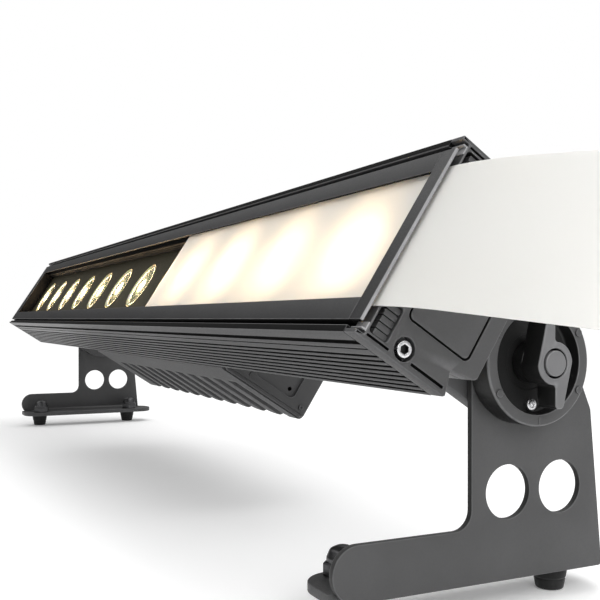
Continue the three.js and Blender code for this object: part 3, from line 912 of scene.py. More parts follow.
class Finish(Enum):
    """Every finish on the batten, painted shade and highlight included, each with the record's slot
    that it stands for.
    """

    EXTRUSION = ("coated_extrusion", CoatFinish(
        "anthracite_extrusion", (0.026, 0.026, 0.027), (0.16, 0.16, 0.165), 0.40, 1300.0, 0.02, 0.42))
    # Painted shade: a near-black coat laid on groove floors, reveals and recesses, where shade falls.
    GROOVE = ("coated_extrusion", CoatFinish(
        "groove_floor", (0.004, 0.004, 0.004), (0.03, 0.03, 0.03), 0.75, 1300.0, 0.02, 0.1, 0.0,
        0.12))
    BEZEL = ("coated_extrusion", CoatFinish(
        "anthracite_bezel", (0.022, 0.022, 0.023), (0.20, 0.20, 0.205), 0.46, 1300.0, 0.02, 0.55,
        0.02, 0.4))
    CASTING = ("coated_casting", CoatFinish(
        "coated_casting", (0.042, 0.042, 0.043), (0.17, 0.17, 0.175), 0.52, 900.0, 0.05, 0.45))
    # Bare cut aluminium, and also a painted highlight: the light grey stands for light caught on the
    # bezel ends' bevels and the guide ends.
    CUT_END = ("coated_extrusion", CoatFinish(
        "cut_aluminium", (0.22, 0.22, 0.225), (0.42, 0.42, 0.42), 0.38, 1500.0, 0.02, 0.3))
    BRACKET = ("bracket_coat", CoatFinish(
        "bracket_coat", (0.045, 0.045, 0.046), (0.17, 0.17, 0.175), 0.5, 1000.0, 0.04, 0.35))
    HUB = ("hub_grey", CoatFinish(
        "hub_grey", (0.115, 0.115, 0.118), (0.28, 0.28, 0.29), 0.45, 1000.0, 0.03, 0.3))
    DRUM = ("bracket_coat", CoatFinish(
        "drum_coat", (0.048, 0.048, 0.049), (0.22, 0.22, 0.225), 0.5, 900.0, 0.05, 0.45))
    # Painted shade: near black for the drum's dish and outer wall, rings round its bumps, the knob's
    # sides and screw sockets.
    DISH = ("bracket_coat", CoatFinish(
        "dish_black", (0.006, 0.006, 0.006), (0.05, 0.05, 0.05), 0.5, 900.0, 0.05, 0.2, 0.0, 0.3))
    PLASTIC = ("black_plastic", CoatFinish(
        "black_moulding", (0.014, 0.014, 0.015), (0.05, 0.05, 0.052), 0.45, 700.0, 0.05, 0.2))
    LENS_PLATE = ("black_plastic", CoatFinish(
        "lens_plate_moulding", (0.042, 0.037, 0.020), (0.08, 0.07, 0.045), 0.6, 700.0, 0.05, 0.2,
        0.0, 0.25))
    RUBBER = ("black_rubber", CoatFinish(
        "black_rubber", (0.010, 0.010, 0.010), (0.03, 0.03, 0.03), 0.72, 500.0, 0.08, 0.2, 0.05,
        0.3, 0.15))
    STEEL = ("bright_steel", MetalFinish(
        "bright_steel", (0.74, 0.74, 0.75), (0.52, 0.52, 0.53), 0.22))
    BLACK_STEEL = ("blackened_steel", MetalFinish(
        "blackened_steel", (0.10, 0.10, 0.102), (0.05, 0.05, 0.052), 0.32))
    CONTACT = ("bright_steel", MetalFinish(
        "contact_plating", (0.80, 0.66, 0.34), (0.60, 0.47, 0.22), 0.24))
    LENS = ("lens_acrylic", LensFinish("lit_lens_acrylic", 12.0))
    FROST = ("frost_sheet", FrostFinish("frosted_film"))
    BOARD = ("circuit_board", SpeckledFinish(
        "board_mask", (0.02, 0.075, 0.035), (0.03, 0.10, 0.045), 0.42, 240.0, 0.3))
    RESIN = ("potted_driver", SpeckledFinish(
        "potting_resin", (0.28, 0.29, 0.30), (0.36, 0.37, 0.38), 0.6, 120.0))
    GLASS = ("display_screen", SpeckledFinish(
        "display_glass", (0.006, 0.009, 0.014), (0.010, 0.014, 0.020), 0.08, 40.0, 1.0))

    @property
    def slot(self) -> str:
        """The record's material slot."""
        return self.value[0]


# ---- Workshop ---------------------------------------------------------------------------


class Workshop:
    """Makes the objects: places surfaces, gives them a finish and ties them to the frame."""

    def __init__(self) -> None:
        """Builds the shared effects and starts with no materials."""
        self.effects = Effects()
        self.materials: dict[Finish, bpy.types.Material] = {}
        self.section, self.stand = find_frames()

    def material(self, finish: Finish) -> bpy.types.Material:
        """The finish's material, made the first time that it is asked for."""
        if finish not in self.materials:
            self.materials[finish] = finish.value[1].make(self.effects)
        return self.materials[finish]

    def mesh(self, name: str, surfaces: list, where: Placement) -> bpy.types.Mesh:
        """Puts closed surfaces into one mesh, each with its faces outward.

        Args:
            name: the mesh's name.
            surfaces: surfaces in drawing millimetres.
            where: the drawing frame.

        Returns:
            The mesh, in metres in the row frame, with a point attribute "worn".
        """
        points, quads, tris, marks, count = [], [], [], [], 0
        for surface in surfaces:
            placed = where.place(surface.points)
            inside_out = surface.volume(placed - placed.mean(axis=0)) < 0
            step = -1 if inside_out else 1
            points.append(placed)
            quads.append(surface.quads[:, ::step] + count)
            tris.append(surface.tris[:, ::step] + count)
            marks.append(surface.marks)
            count += len(placed)
        quads, tris = np.concatenate(quads), np.concatenate(tris)
        mesh = bpy.data.meshes.new(name)
        mesh.vertices.add(count)
        mesh.vertices.foreach_set("co", np.concatenate(points).astype(np.float32).ravel())
        corners = np.concatenate([quads.ravel(), tris.ravel()]).astype(np.int32)
        starts = np.concatenate([
            np.arange(len(quads)) * 4, len(quads) * 4 + np.arange(len(tris)) * 3
        ]).astype(np.int32)
        mesh.loops.add(len(corners))
        mesh.loops.foreach_set("vertex_index", corners)
        mesh.polygons.add(len(starts))
        mesh.polygons.foreach_set("loop_start", starts)
        mesh.update(calc_edges=True)
        mesh.validate()
        mesh.shade_smooth()
        mesh.set_sharp_from_angle(angle=SMOOTH_ANGLE)
        worn = mesh.attributes.new("worn", "FLOAT", "POINT")
        worn.data.foreach_set("value", np.concatenate(marks).astype(np.float32))
        return mesh

    def make(
        self,
        name: str,
        surfaces: list,
        finish: Finish,
        where: Placement,
        *nodes: str,
        rides: str = "",
    ) -> bpy.types.Object:
        """Makes one piece and ties it to the frame.

        Args:
            name: the piece's name.
            surfaces: its closed surfaces in drawing millimetres.
            finish: its finish.
            where: the drawing frame.
            nodes: the CAD nodes that it stands for.
            rides: a CAD node whose body it moves with, where it stands for none.

        Returns:
            The object.
        """
        piece = bpy.data.objects.new(name, self.mesh(name, surfaces, where))
        bpy.context.scene.collection.objects.link(piece)
        piece.data.materials.append(self.material(finish))
        body = frame["nodes"][rides or nodes[0]]["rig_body"]
        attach(piece, body)
        if nodes:
            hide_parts(*nodes)
        log.info("%s: %d faces on %s", name, len(piece.data.polygons), body)
        return piece

    def face_middles(self, piece: bpy.types.Object, where: Placement) -> np.ndarray:
        """The middle of each face, in the drawing frame's millimetres."""
        middles = np.zeros(3 * len(piece.data.polygons))
        piece.data.polygons.foreach_get("center", middles)
        return (middles.reshape(-1, 3) - where.origin) @ where.axes.T / MM

    def second_finish(self, piece: bpy.types.Object, finish: Finish, chosen: np.ndarray) -> None:
        """Gives the chosen faces of a piece another finish."""
        piece.data.materials.append(self.material(finish))
        piece.data.polygons.foreach_set("material_index", chosen.astype(np.int32))
        piece.data.update()

    def dress(self, node: str, finish: Finish) -> None:
        """Gives a CAD node that stays a finish."""
        materials = frame["nodes"][node].data.materials
        materials.clear()
        materials.append(self.material(finish))
        log.info("%s: CAD node dressed", node)


# ---- Housing ----------------------------------------------------------------------------


def both_sides(lower: list) -> list:
    """Points of the lower side, then the same points seen in the mid line, as one outline."""
    return [*lower, *[(n, FACE - u) for n, u in reversed(lower)]]


def seen_in_middle(low: float, high: float, flip: bool) -> tuple[float, float]:
    """A span of u as it is, or seen in the mid line for the upper half."""
    return (FACE - high, FACE - low) if flip else (low, high)


def doubled(radii: list) -> list:
    """Corner radii of the lower side, then of the upper side."""
    return [*radii, *reversed(radii)]


@dataclass
class Housing:
    """The ribbed extrusion, its end caps and their screws."""

    half: float = 503.0
    body_end: float = 493.0
    wall: float = 3.9
    waist: tuple = ((54.4, 0.0), (50.4, 12.0), (65.0, 15.0))
    grooves: tuple = ((9.0, 3.6, 1.8), (14.6, 1.2, 0.8))
    rib_first: float = 20.6
    rib_pitch: float = 4.26
    rib_width: float = 2.1
    rib_depth: float = 1.8
    rib_count: int = 8
    screw_n: float = 25.0
    screw_u: float = 7.1
    port_bore: float = 2.3
    cap_depth: float = 9.7
    rim_grooves: tuple = ((5.6, 18.4, 2.1, 3.2), (31.2, 51.0, 2.8, 4.1))
    rim_groove_depth: float = 2.4
    rim_middle: float = 3.1
    cell: tuple = (5.5, 15.8, 4.2, 21.4)
    cell_depth: float = 6.6
    vent_n: tuple = (8.4, 15.7)
    vent_first: tuple = (4.7, 7.5)
    vent_pitch: float = 3.3
    vent_count: int = 5
    recess_radius: float = 5.4
    recess_depth: float = 4.2
    head_radius: float = 3.75
    head_span: tuple = (499.1, 502.9)
    head_key: float = 2.15
    shank_radius: float = 2.0
    shank_span: tuple = (483.1, 499.2)
    panel_n: tuple = (18.5, 56.5)
    panel_u: float = 19.2
    panel_groove: float = 1.0
    panel_depth: float = 1.9
    margin: float = 0.1

    def side_points(self) -> tuple[list, list]:
        """The lower side's outline with its grooves, and a radius for each corner."""
        ribs = [
            (self.rib_first + i * self.rib_pitch, self.rib_width, self.rib_depth)
            for i in range(self.rib_count)
        ]
        points, radii = [(0.0, 0.0)], [0.5]
        for centre, width, depth in (*self.grooves, *ribs):
            a, b = centre - width / 2, centre + width / 2
            points += [(a, 0.0), (a + 0.12, depth), (b - 0.12, depth), (b, 0.0)]
            radii += [0.42, 0.25, 0.25, 0.42]
        points += list(self.waist)
        radii += [2.2, 1.2, 2.5]
        return points, radii

    def extrusion(self, shop: Workshop) -> None:
        """The whole extrusion: one profile run along x."""
        inside = [
            (41.0, self.wall), (28.9, self.wall), (28.9, 11.0), (21.1, 11.0), (21.1, self.wall),
            (10.7, self.wall), (10.7, 13.9), (8.7, 13.9), (8.7, self.wall), (0.0, self.wall),
        ]
        side, radii = self.side_points()
        points = both_sides([*inside, *side])
        line = rounded(points, doubled([*[0.3] * 9, 0.5, *radii]), 3)
        chamber = rounded(both_sides([(47.0, 15.0), (62.0, 18.0)]), 1.0)
        bores = [
            circle(self.screw_n, u, self.port_bore, 16)
            for u in (self.screw_u, FACE - self.screw_u)
        ]
        body = slab(line, -self.body_end, self.body_end, 0.15, holes=[chamber, *bores])
        piece = shop.make(
            "ribbed_housing", [body.turned(Along.X)], Finish.EXTRUSION, shop.section,
            "housing_extrusion",
        )
        n, u = shop.face_middles(piece, shop.section)[:, 1:].T
        edge = np.minimum(u, FACE - u)
        # Painted shade: the floors of the side grooves take the near-black groove-shade coat.
        in_groove = (edge > 0.3) & (edge < self.rib_depth + 0.15)
        shop.second_finish(piece, Finish.GROOVE, in_groove & (n < 52))

    def cap_outline(self) -> Outline:
        """The end cap's outline: the housing's, with a notch that lets the film through."""
        lower = [(4.4, 2.0), (0.0, 2.0), (0.0, 0.0), *self.waist]
        radii = [0.5, 0.35, 0.6, 1.4, 0.7, 2.6]
        return rounded(both_sides(lower), doubled(radii), 6)

    def cap(self, shop: Workshop, side: Side) -> None:
        """An end cap with corner cells, vent bars, rim grooves, screw recesses and a panel."""
        low, top = self.half - self.cap_depth, self.half
        pockets, parts = [], []
        for flip in (False, True):
            for n0, n1, u0, u1 in self.rim_grooves:
                line = oblong(n0, n1, *seen_in_middle(u0, u1, flip), 0.4)
                pockets.append(Pocket(line, top - self.rim_groove_depth))
            n0, n1, u0, u1 = self.cell
            line = oblong(n0, n1, *seen_in_middle(u0, u1, flip), 1.6)
            pockets.append(Pocket(line, top - self.cell_depth))
            for k in range(self.vent_count):
                u0, u1 = (u + self.vent_pitch * k for u in self.vent_first)
                line = oblong(*self.vent_n, *seen_in_middle(u0, u1, flip), 0.35)
                parts.append(slab(line, top - 6.8, top - 1.6, 0.3).turned(Along.X))
            u = FACE - self.screw_u if flip else self.screw_u
            bore = circle(self.screw_n, u, self.port_bore, 20)
            recess = circle(self.screw_n, u, self.recess_radius, 40)
            pockets.append(Pocket(recess, top - self.recess_depth, [bore]))
        (n0, n1), u0, gap = self.panel_n, self.panel_u, self.panel_groove
        pockets.append(Pocket(oblong(n0, n1, u0, FACE - u0, 3.4, 6), top - self.panel_depth))
        island = oblong(n0 + gap, n1 - gap, u0 + gap, FACE - u0 - gap, 2.6, 6)
        parts.append(slab(island, top - 2.2, top - 0.25, 0.45).turned(Along.X))
        plate = slab(self.cap_outline(), low, top, 0.55, pockets=pockets)
        where = shop.section.at(side)
        piece = shop.make(
            f"{side.word}_end_cap", [plate.turned(Along.X), *parts], Finish.CASTING, where,
            f"end_cap_{side.word}",
        )
        x, n, u = shop.face_middles(piece, where).T
        edge = np.minimum(u, FACE - u)
        in_panel = (n > n0 - self.margin) & (n < n1 + self.margin) & (edge > u0 - self.margin)
        in_rim = (np.abs(edge - self.rim_middle) < 1.1) & (n > 4.5) & (n < 51)
        # Painted shade: the panel groove and the rim grooves, below the face, take the near-black
        # coat.
        dark = (in_panel & (x < top - 0.8)) | (in_rim & (x < top - 0.7))
        shop.second_finish(piece, Finish.GROOVE, dark)

    def cap_screws(self, shop: Workshop, side: Side) -> None:
        """The two socket screws that hold an end cap, with painted shade inside their sockets."""
        low, top = self.head_span
        end, start = self.shank_span
        for level, u in (("lower", self.screw_u), ("upper", FACE - self.screw_u)):
            head = hex_socket_screw(self.head_radius, low, top, self.head_key)
            shank = spun([(0, end), (self.shank_radius, end), (self.shank_radius, start),
                          (0, start)], [0, 0.4, 0, 0], 20)
            parts = [p.turned(Along.X).moved(0, self.screw_n, u) for p in (head, shank)]
            where = shop.section.at(side)
            piece = shop.make(
                f"{side.word}_{level}_cap_screw", parts, Finish.STEEL, where,
                f"cap_screw_{side.word}_{level}",
            )
            x, n, across = shop.face_middles(piece, where).T
            away = np.hypot(n - self.screw_n, across - u)
            # Painted shade: the socket's walls and floor take the near-black finish.
            in_socket = (away < self.head_key + 0.05) & (x > low + 0.4) & (x < top - 0.1)
            shop.second_finish(piece, Finish.DISH, in_socket)

    def build(self, shop: Workshop) -> None:
        """Builds the extrusion, and the cap and screws of each end."""
        self.extrusion(shop)
        for side in Side:
            self.cap(shop, side)
            self.cap_screws(shop, side)


# ---- Bezel ------------------------------------------------------------------------------


@dataclass
class Bezel:
    """The two long rails, the two short ends and the film guide's cut ends."""

    rail_end: float = 491.3
    end_inner: float = 491.6
    end_outer: float = 501.8
    outer: float = 6.6
    opening: float = 18.0
    skin: float = 1.6
    reveal: float = 13.9
    left_reach: float = 11.5
    lip_wall: float = 1.4
    guide_span: tuple = (493.6, 502.9)
    seal_span: tuple = (494.0, 501.2)
    seal_back: float = 4.2
    seal_pitch: float = 1.2
    seal_tooth: float = 0.25

    def rail(self, shop: Workshop, level: str, node: str) -> None:
        """A rail: skin, film slot, rear leg and a reveal with three fine ridges."""
        web, leg = self.outer + 2.0, self.opening - 2.0
        ridges = []
        for n in (8.2, 10.1, 12.0):
            ridges += [(n + 0.95, self.opening), (n + 0.75, self.opening - 0.55),
                       (n + 0.2, self.opening - 0.55), (n, self.opening)]
        ridges = sorted(ridges, key=lambda p: -p[0])
        points = [
            (0.0, self.outer), (8.4, self.outer), (8.4, leg), (self.reveal, leg),
            (self.reveal, self.opening), *ridges, (6.4, self.opening), (6.4, web),
            (self.skin, web), (self.skin, self.opening), (0.0, self.opening),
        ]
        radii = [0.45, 0.3, 0.3, 0.4, 0.4, *[0.12] * 12, 0.3, 0.2, 0.2, 0.25, 0.3]
        if level == "upper":
            points = [(n, FACE - u) for n, u in points]
        body = slab(rounded(points, radii, 3), -self.rail_end, self.rail_end, 0.25)
        piece = shop.make(
            f"{level}_bezel", [body.turned(Along.X)], Finish.BEZEL, shop.section, node
        )
        n = shop.face_middles(piece, shop.section)[:, 1]
        # Painted shade: every face behind the front skin, the reveal and its ridges included, takes
        # the near-black coat.
        shop.second_finish(piece, Finish.GROOVE, n > 0.4)

    def end(self, shop: Workshop, side: Side) -> None:
        """A short end: a flat strip with a bevelled outer edge, lighter as bare cut metal and as a
        painted highlight.
        """
        lip = [
            (0.0, self.end_inner), (0.0, self.end_outer - 0.5), (0.5, self.end_outer),
            (self.skin, self.end_outer), (self.skin, self.end_inner),
        ]
        line = rounded(lip, [0.3, 0.15, 0.15, 0.2, 0.2], 3)
        body = slab(line, self.outer, FACE - self.outer, 0.35)
        strip = body.turned(Along.U)
        where = shop.section.at(side)
        piece = shop.make(
            f"{side.word}_bezel_end", [strip], Finish.BEZEL, where, f"bezel_end_{side.word}"
        )
        x, n, _ = shop.face_middles(piece, where).T
        # Painted highlight, partly bare cut metal: the bevel along the outer edge takes the light cut
        # finish.
        cut = (x + n > self.end_outer - 0.45) & (n < self.skin - 0.3)
        shop.second_finish(piece, Finish.CUT_END, cut)

    def left_lip(self, shop: Workshop) -> None:
        """The left strip reaches further into the opening than the right one, its wall painted in
        shade.
        """
        edge, wall = self.end_inner - self.left_reach, self.lip_wall
        line = rounded([
            (0.02, edge), (0.02, self.end_inner + 0.1), (self.skin, self.end_inner + 0.1),
            (self.skin, edge + wall), (self.reveal, edge + wall), (self.reveal, edge),
        ], [0.3, 0.05, 0.1, 0.2, 0.2, 0.2], 3)
        body = slab(line, self.opening + 0.1, FACE - self.opening - 0.1, 0.1)
        lip = body.turned(Along.U)
        where = shop.section.at(Side.LEFT)
        piece = shop.make(
            "left_bezel_lip", [lip], Finish.BEZEL, where, rides="bezel_end_left"
        )
        # Painted shade: the lip's wall and back take the near-black coat.
        shop.second_finish(piece, Finish.GROOVE, shop.face_middles(piece, where)[:, 1] > 0.6)

    def guide_ends(self, shop: Workshop, side: Side) -> None:
        """The hooked ends of the film guides, sawn off clean inside each end cap's notch."""
        hook = [
            (1.9, 3.4), (4.45, 3.4), (4.45, 7.6), (3.7, 7.6), (3.7, 4.2), (1.9, 4.2),
        ]
        parts = []
        for flip in (False, True):
            points = [(n, FACE - u if flip else u) for n, u in hook]
            part = slab(rounded(points, 0.3, 3), *self.guide_span, 0.2)
            parts.append(part.turned(Along.X))
        # The whole piece takes the light cut finish: bare sawn metal, and also a painted highlight on
        # the thin walls' front edges.
        shop.make(
            f"{side.word}_guide_ends", parts, Finish.CUT_END, shop.section.at(side),
            rides=f"end_cap_{side.word}",
        )

    def slot_seal(self, shop: Workshop) -> None:
        """A ribbed rubber strip that shuts the unused film slot at the left end."""
        u = np.arange(9.8, FACE - 9.7, self.seal_pitch)
        teeth = 2.25 + self.seal_tooth * (np.arange(len(u)) % 2)
        front = list(zip(teeth, u))
        line = rounded([(self.seal_back, u[-1]), (self.seal_back, u[0]), *front], 0.0)
        body = slab(line, *self.seal_span, 0.1)
        shop.make(
            "left_slot_seal", [body.turned(Along.X)], Finish.RUBBER, shop.section.at(Side.LEFT),
            rides="end_cap_left",
        )

    def build(self, shop: Workshop) -> None:
        """Builds both rails and, at each end, the strip and the guide's cut ends."""
        self.slot_seal(shop)
        self.left_lip(shop)
        self.rail(shop, "lower", "bezel_rail_lower")
        self.rail(shop, "upper", "bezel_rail_upper")
        for side in Side:
            self.end(shop, side)
            self.guide_ends(shop, side)


# ---- Light engine -----------------------------------------------------------------------


@dataclass
class LightEngine:
    """The lens plate, the twelve lenses and the LED board."""

    cells: int = 12
    pitch: float = 80.0
    radius: float = 22.4
    front: float = 14.4
    rim: float = 3.0
    back: float = 36.4
    plate_half: float = 485.6
    core: float = 0.26
    dome_rise: float = 0.5
    rim_start: float = 0.93
    rim_rise: float = 0.9
    ripple_rise: float = 0.25
    ripple_rate: float = 46.0
    petals: int = 18

    def places(self) -> np.ndarray:
        """Each cell's centre along x."""
        return (np.arange(self.cells) - (self.cells - 1) / 2) * self.pitch

    def plate(self, shop: Workshop) -> None:
        """The dark plate round the lenses, with an eased edge at each hole."""
        line = oblong(-self.plate_half, self.plate_half, 4.2, FACE - 4.2, 1.5)
        holes = [circle(x, MID_U, self.radius + 0.3, 48) for x in self.places()]
        body = slab(line, self.front, self.front + 2.0, 0.5, holes=holes)
        shop.make(
            "lens_plate_moulding", [body.turned(Along.N)], Finish.LENS_PLATE, shop.section,
            "lens_plate",
        )

    def lens(self, shop: Workshop, index: int) -> None:
        """A collimator lens with a raised rim, a facetted field and a domed core.

        Its front is a grid of radius r and angle a. Its height is a rim step past nine tenths of
        the radius, a dome inside a quarter, and between them ripples, the product of a cosine of
        the radius and a cosine of eighteen times the angle.
        """
        rings, segments = 26, 72
        share = np.linspace(0, 1, rings)[:, None]
        angle = np.linspace(0, 2 * np.pi, segments, endpoint=False)[None, :]
        field_part = np.clip((share - self.core - 0.01) / 0.1, 0, 1)
        field_part = field_part * np.clip((self.rim_start - 0.05 - share) / 0.05, 0, 1)
        ripple = np.cos(share * self.ripple_rate) * np.cos(self.petals * angle)
        ripple = self.ripple_rise * ripple * field_part
        dome = -self.dome_rise * np.clip(1 - (share / self.core) ** 2, 0, 1)
        sink = self.rim_rise * np.clip((self.rim_start - share) / 0.05, 0, 1)
        n = self.front + sink + dome + ripple
        r = share * self.radius
        front = np.stack([r * np.cos(angle), r * np.sin(angle), n], axis=-1)
        tail_r = np.array([self.radius, self.radius, 15.0, 7.0, 0.0])[:, None]
        tail_n = np.array([self.front + 0.3, self.front + self.rim, 28.0, self.back, self.back])
        tail = np.stack([
            tail_r * np.cos(angle), tail_r * np.sin(angle), tail_n[:, None] + 0 * angle
        ], axis=-1)
        points = np.concatenate([front, tail]).reshape(-1, 3)
        quads = grid_faces(rings + 5, segments, False, True)
        away = np.minimum(np.linalg.norm(points[:, :2], axis=1) / self.radius, 1)
        away[rings * segments:] = 1
        surface = Surface(points, quads, NO_TRIS, away).welded()
        away = surface.marks
        surface = surface.turned(Along.N).moved(self.places()[index], 0, MID_U)
        number = f"{index + 1:02d}"
        piece = shop.make(
            f"cell_lens_{number}", [surface], Finish.LENS, shop.section, f"lens_{number}"
        )
        mark = piece.data.attributes.new("away", "FLOAT", "POINT")
        mark.data.foreach_set("value", away.astype(np.float32))

    def build(self, shop: Workshop) -> None:
        """Builds the plate and the lenses, and dresses the board."""
        self.plate(shop)
        for index in range(self.cells):
            self.lens(shop, index)
        shop.dress("led_board", Finish.BOARD)


# ---- Frost film -------------------------------------------------------------------------


@dataclass
class FrostFilm:
    """The frosted film: flat inside the guides, then a gentle bend and a straight free end."""

    start: float = 491.6
    length: float = 490.0
    inserted: float = 344.0
    bend_length: float = 55.0
    bend: float = math.radians(10)
    depth: float = 3.3
    thickness: float = 0.5
    low: float = 15.4
    high: float = FACE - 14.4

    def middle(self, s: np.ndarray) -> tuple[np.ndarray, np.ndarray, np.ndarray]:
        """The film's mid line at distances s from its inner end.

        Its slope is zero inside the guides, grows evenly to the full bend over the bend's length
        and then stays; x and n are the running sums of the slope's cosine and sine.

        Returns:
            x, n and the slope.
        """
        slope = self.bend * np.clip((s - self.inserted) / self.bend_length, 0, 1)
        step = np.diff(s, prepend=s[0])
        between = (slope + np.roll(slope, 1)) / 2
        x = self.start - self.inserted + np.cumsum(step * np.cos(between))
        n = self.depth + np.cumsum(step * np.sin(between))
        return x, n, slope

    def build(self, shop: Workshop) -> None:
        """Builds the film with its bend."""
        s = np.linspace(0, self.length, 197)
        u = np.linspace(self.low, self.high, 20)
        x, n, slope = self.middle(s)
        mid = np.stack(np.broadcast_arrays(x[:, None], n[:, None], u[None, :]), axis=-1)
        normal = np.stack([-np.sin(slope), np.cos(slope), 0 * slope], axis=-1)[:, None, :]
        surface = shell(mid, np.broadcast_to(normal, mid.shape), self.thickness)
        piece = shop.make(
            "frosted_film", [surface], Finish.FROST, shop.section, "frost_film"
        )
        on_film = shop.section.place(np.array([[self.start, self.depth, MID_U]]))[0]
        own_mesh(piece)


# ---- Driver box -------------------------------------------------------------------------


@dataclass
class DriverBox:
    """The box of electronics behind the housing, with louvre-like fins across its sides."""

    half: float = 200.0
    front: float = HOUSING_BACK
    back: float = 144.5
    low: float = 4.3
    wall: float = 5.0
    corner: float = 4.5
    fin_start: float = 88.0
    fin_pitch: float = 33.4
    groove: float = 3.4
    groove_depth: float = 3.0
    slope_depth: float = 2.2
    slope_power: float = 2.2
    fins_each_way: int = 5

    def section_line(self, inset: float) -> Outline:
        """The box's section in n and u, inset from its outer faces."""
        n = np.linspace(self.front + inset + 5, self.back - inset - 8, 24)
        lower = [(float(a), self.low + inset) for a in n]
        r = max(self.corner - inset, 0.8)
        radii = [0.0] * len(lower)
        ends = [(self.front + inset, self.low + inset), (self.back - inset, self.low + inset)]
        points = [ends[0], *lower, ends[1]]
        return rounded(both_sides(points), doubled([1.0, *radii, r]), 6)

    def box(self, shop: Workshop) -> None:
        """The hollow box: its section run along x, pushed in at each groove.

        The push at x is the greater of two: the groove's depth inside a groove's width, with
        sloping flanks, and a slope that is deepest just past each groove and dies out before the
        next. It is full on the side faces behind the fins' start and round the rear corners, and
        dies out across the rear face.
        """
        line, inner = self.section_line(0.0), self.section_line(self.wall)
        x = np.unique(np.concatenate([
            np.linspace(-self.half, self.half, 241),
            *[k * self.fin_pitch + np.array([-2.3, -1.75, -1.5, 1.5, 1.75, 2.3])
              for k in range(-self.fins_each_way, self.fins_each_way + 1)],
        ]))
        x = x[np.abs(x) <= self.half]
        offset = (x + self.fin_pitch / 2) % self.fin_pitch - self.fin_pitch / 2
        from_groove = np.abs(offset)
        cut = self.groove_depth * np.clip((self.groove / 2 + 0.3 - from_groove) / 0.5, 0, 1)
        along = offset / self.fin_pitch
        left = np.clip(1 - np.where(along < 0, along + 1, along), 0, 1)
        slope = self.slope_depth * left ** self.slope_power
        outside = np.abs(x) > self.fins_each_way * self.fin_pitch + self.fin_pitch / 2
        push = np.where(outside, 0, np.maximum(cut, slope))
        n, u = line.points.T
        edge = np.minimum(u - self.low, FACE - self.low - u)
        share = np.clip((n - self.fin_start) / 0.8, 0, 1) * np.clip(1 - (edge - 3.6) / 2.4, 0, 1)
        inward = line.inset(1.0) - line.points if line.area > 0 else line.points - line.inset(1.0)
        move = push[:, None, None] * share[None, :, None] * inward[None]
        flat = line.points[None] + move
        outer = np.concatenate([np.broadcast_to(x[:, None, None], (*flat.shape[:2], 1)), flat], axis=2)
        flat_in = np.broadcast_to(inner.points[None], flat.shape)
        inside = np.concatenate([outer[:, :, :1], flat_in], axis=2)
        steep = np.abs(np.gradient(push, x))[:, None] * share[None, :]
        marks = np.maximum(np.clip(steep, 0, 0.5), line.worn[None, :] * 0.8)
        body = tube(outer, inside, marks)
        shop.make("driver_case", [body], Finish.CASTING, shop.section, "driver_box")

    def end(self, shop: Workshop, side: Side) -> None:
        """An end plate with a rim line, a recessed panel and two screw holes."""
        low, top = 200.3, 203.3
        line = oblong(66.3, 143.5, 5.3, FACE - 5.3, 3.5, 6)
        panel = oblong(90, 128, 14.5, FACE - 14.5, 4, 6)
        holes = [circle(122.5, u, 1.7, 20) for u in (20.5, FACE - 20.5)]
        pockets = [Pocket(panel, top - 2.6, holes)]
        for u0, u1 in ((7.4, 8.3), (FACE - 8.3, FACE - 7.4)):
            pockets.append(Pocket(oblong(68.5, 141, u0, u1, 0.4), top - 0.7))
        pockets.append(Pocket(oblong(85.6, 86.5, 10.5, FACE - 10.5, 0.4), top - 0.7))
        plate = slab(line, low, top, 0.5, pockets=pockets)
        shop.make(
            f"{side.word}_driver_end", [plate.turned(Along.X)], Finish.CASTING,
            shop.section.at(side), f"driver_end_{side.word}",
        )
        heads = []
        for n in (72.5, 137.5):
            for u in (12.5, FACE - 12.5):
                head = hex_socket_screw(2.1, top - 0.4, top + 1.1, 1.0)
                heads.append(head.turned(Along.X).moved(0, n, u))
        shop.make(
            f"{side.word}_driver_screws", heads, Finish.BLACK_STEEL, shop.section.at(side),
            rides=f"driver_end_{side.word}",
        )

    def build(self, shop: Workshop) -> None:
        """Builds the box and its ends, and dresses the module inside."""
        self.box(shop)
        for side in Side:
            self.end(shop, side)
        shop.dress("driver_module", Finish.RESIN)


@dataclass
class ControlPanel:
    """The panel on the box's back: display window and four buttons."""

    front: float = PANEL_FRONT
    back: float = 148.8
    half_width: float = 50.0
    half_height: float = 19.0
    names: tuple = ("menu", "down", "up", "enter")
    first: float = 3.0
    pitch: float = 12.0

    def build(self, shop: Workshop) -> None:
        """Builds the panel, the display and the buttons."""
        w, h = self.half_width, self.half_height
        line = oblong(-w, w, MID_U - h, MID_U + h, 5, 6)
        places = [self.first + self.pitch * k for k in range(len(self.names))]
        holes = [circle(x, MID_U, 3.8, 32) for x in places]
        plate = slab(line, self.front, self.back, 0.9, holes=holes,
                     pockets=[Pocket(oblong(-44.5, -3.5, MID_U - 13.5, MID_U + 13.5, 2), 148.3)])
        shop.make(
            "control_plate", [plate.turned(Along.N)], Finish.PLASTIC, shop.section,
            "control_panel",
        )
        window = slab(oblong(-42, -6, MID_U - 11, MID_U + 11, 1.5), 149.1, 149.9, 0.25)
        shop.make(
            "display_glass", [window.turned(Along.N)], Finish.GLASS, shop.section,
            "display_window",
        )
        for name, x in zip(self.names, places):
            cap = spun([(0, 146.5), (3.5, 146.5), (3.5, 150.6), (1.6, 150.35), (0, 150.25)],
                       [0, 0.2, 0.7, 0.4, 0], 36)
            shop.make(
                f"{name}_button", [cap.turned(Along.N).moved(x, 0, MID_U)], Finish.RUBBER,
                shop.section, f"button_{name}",
            )


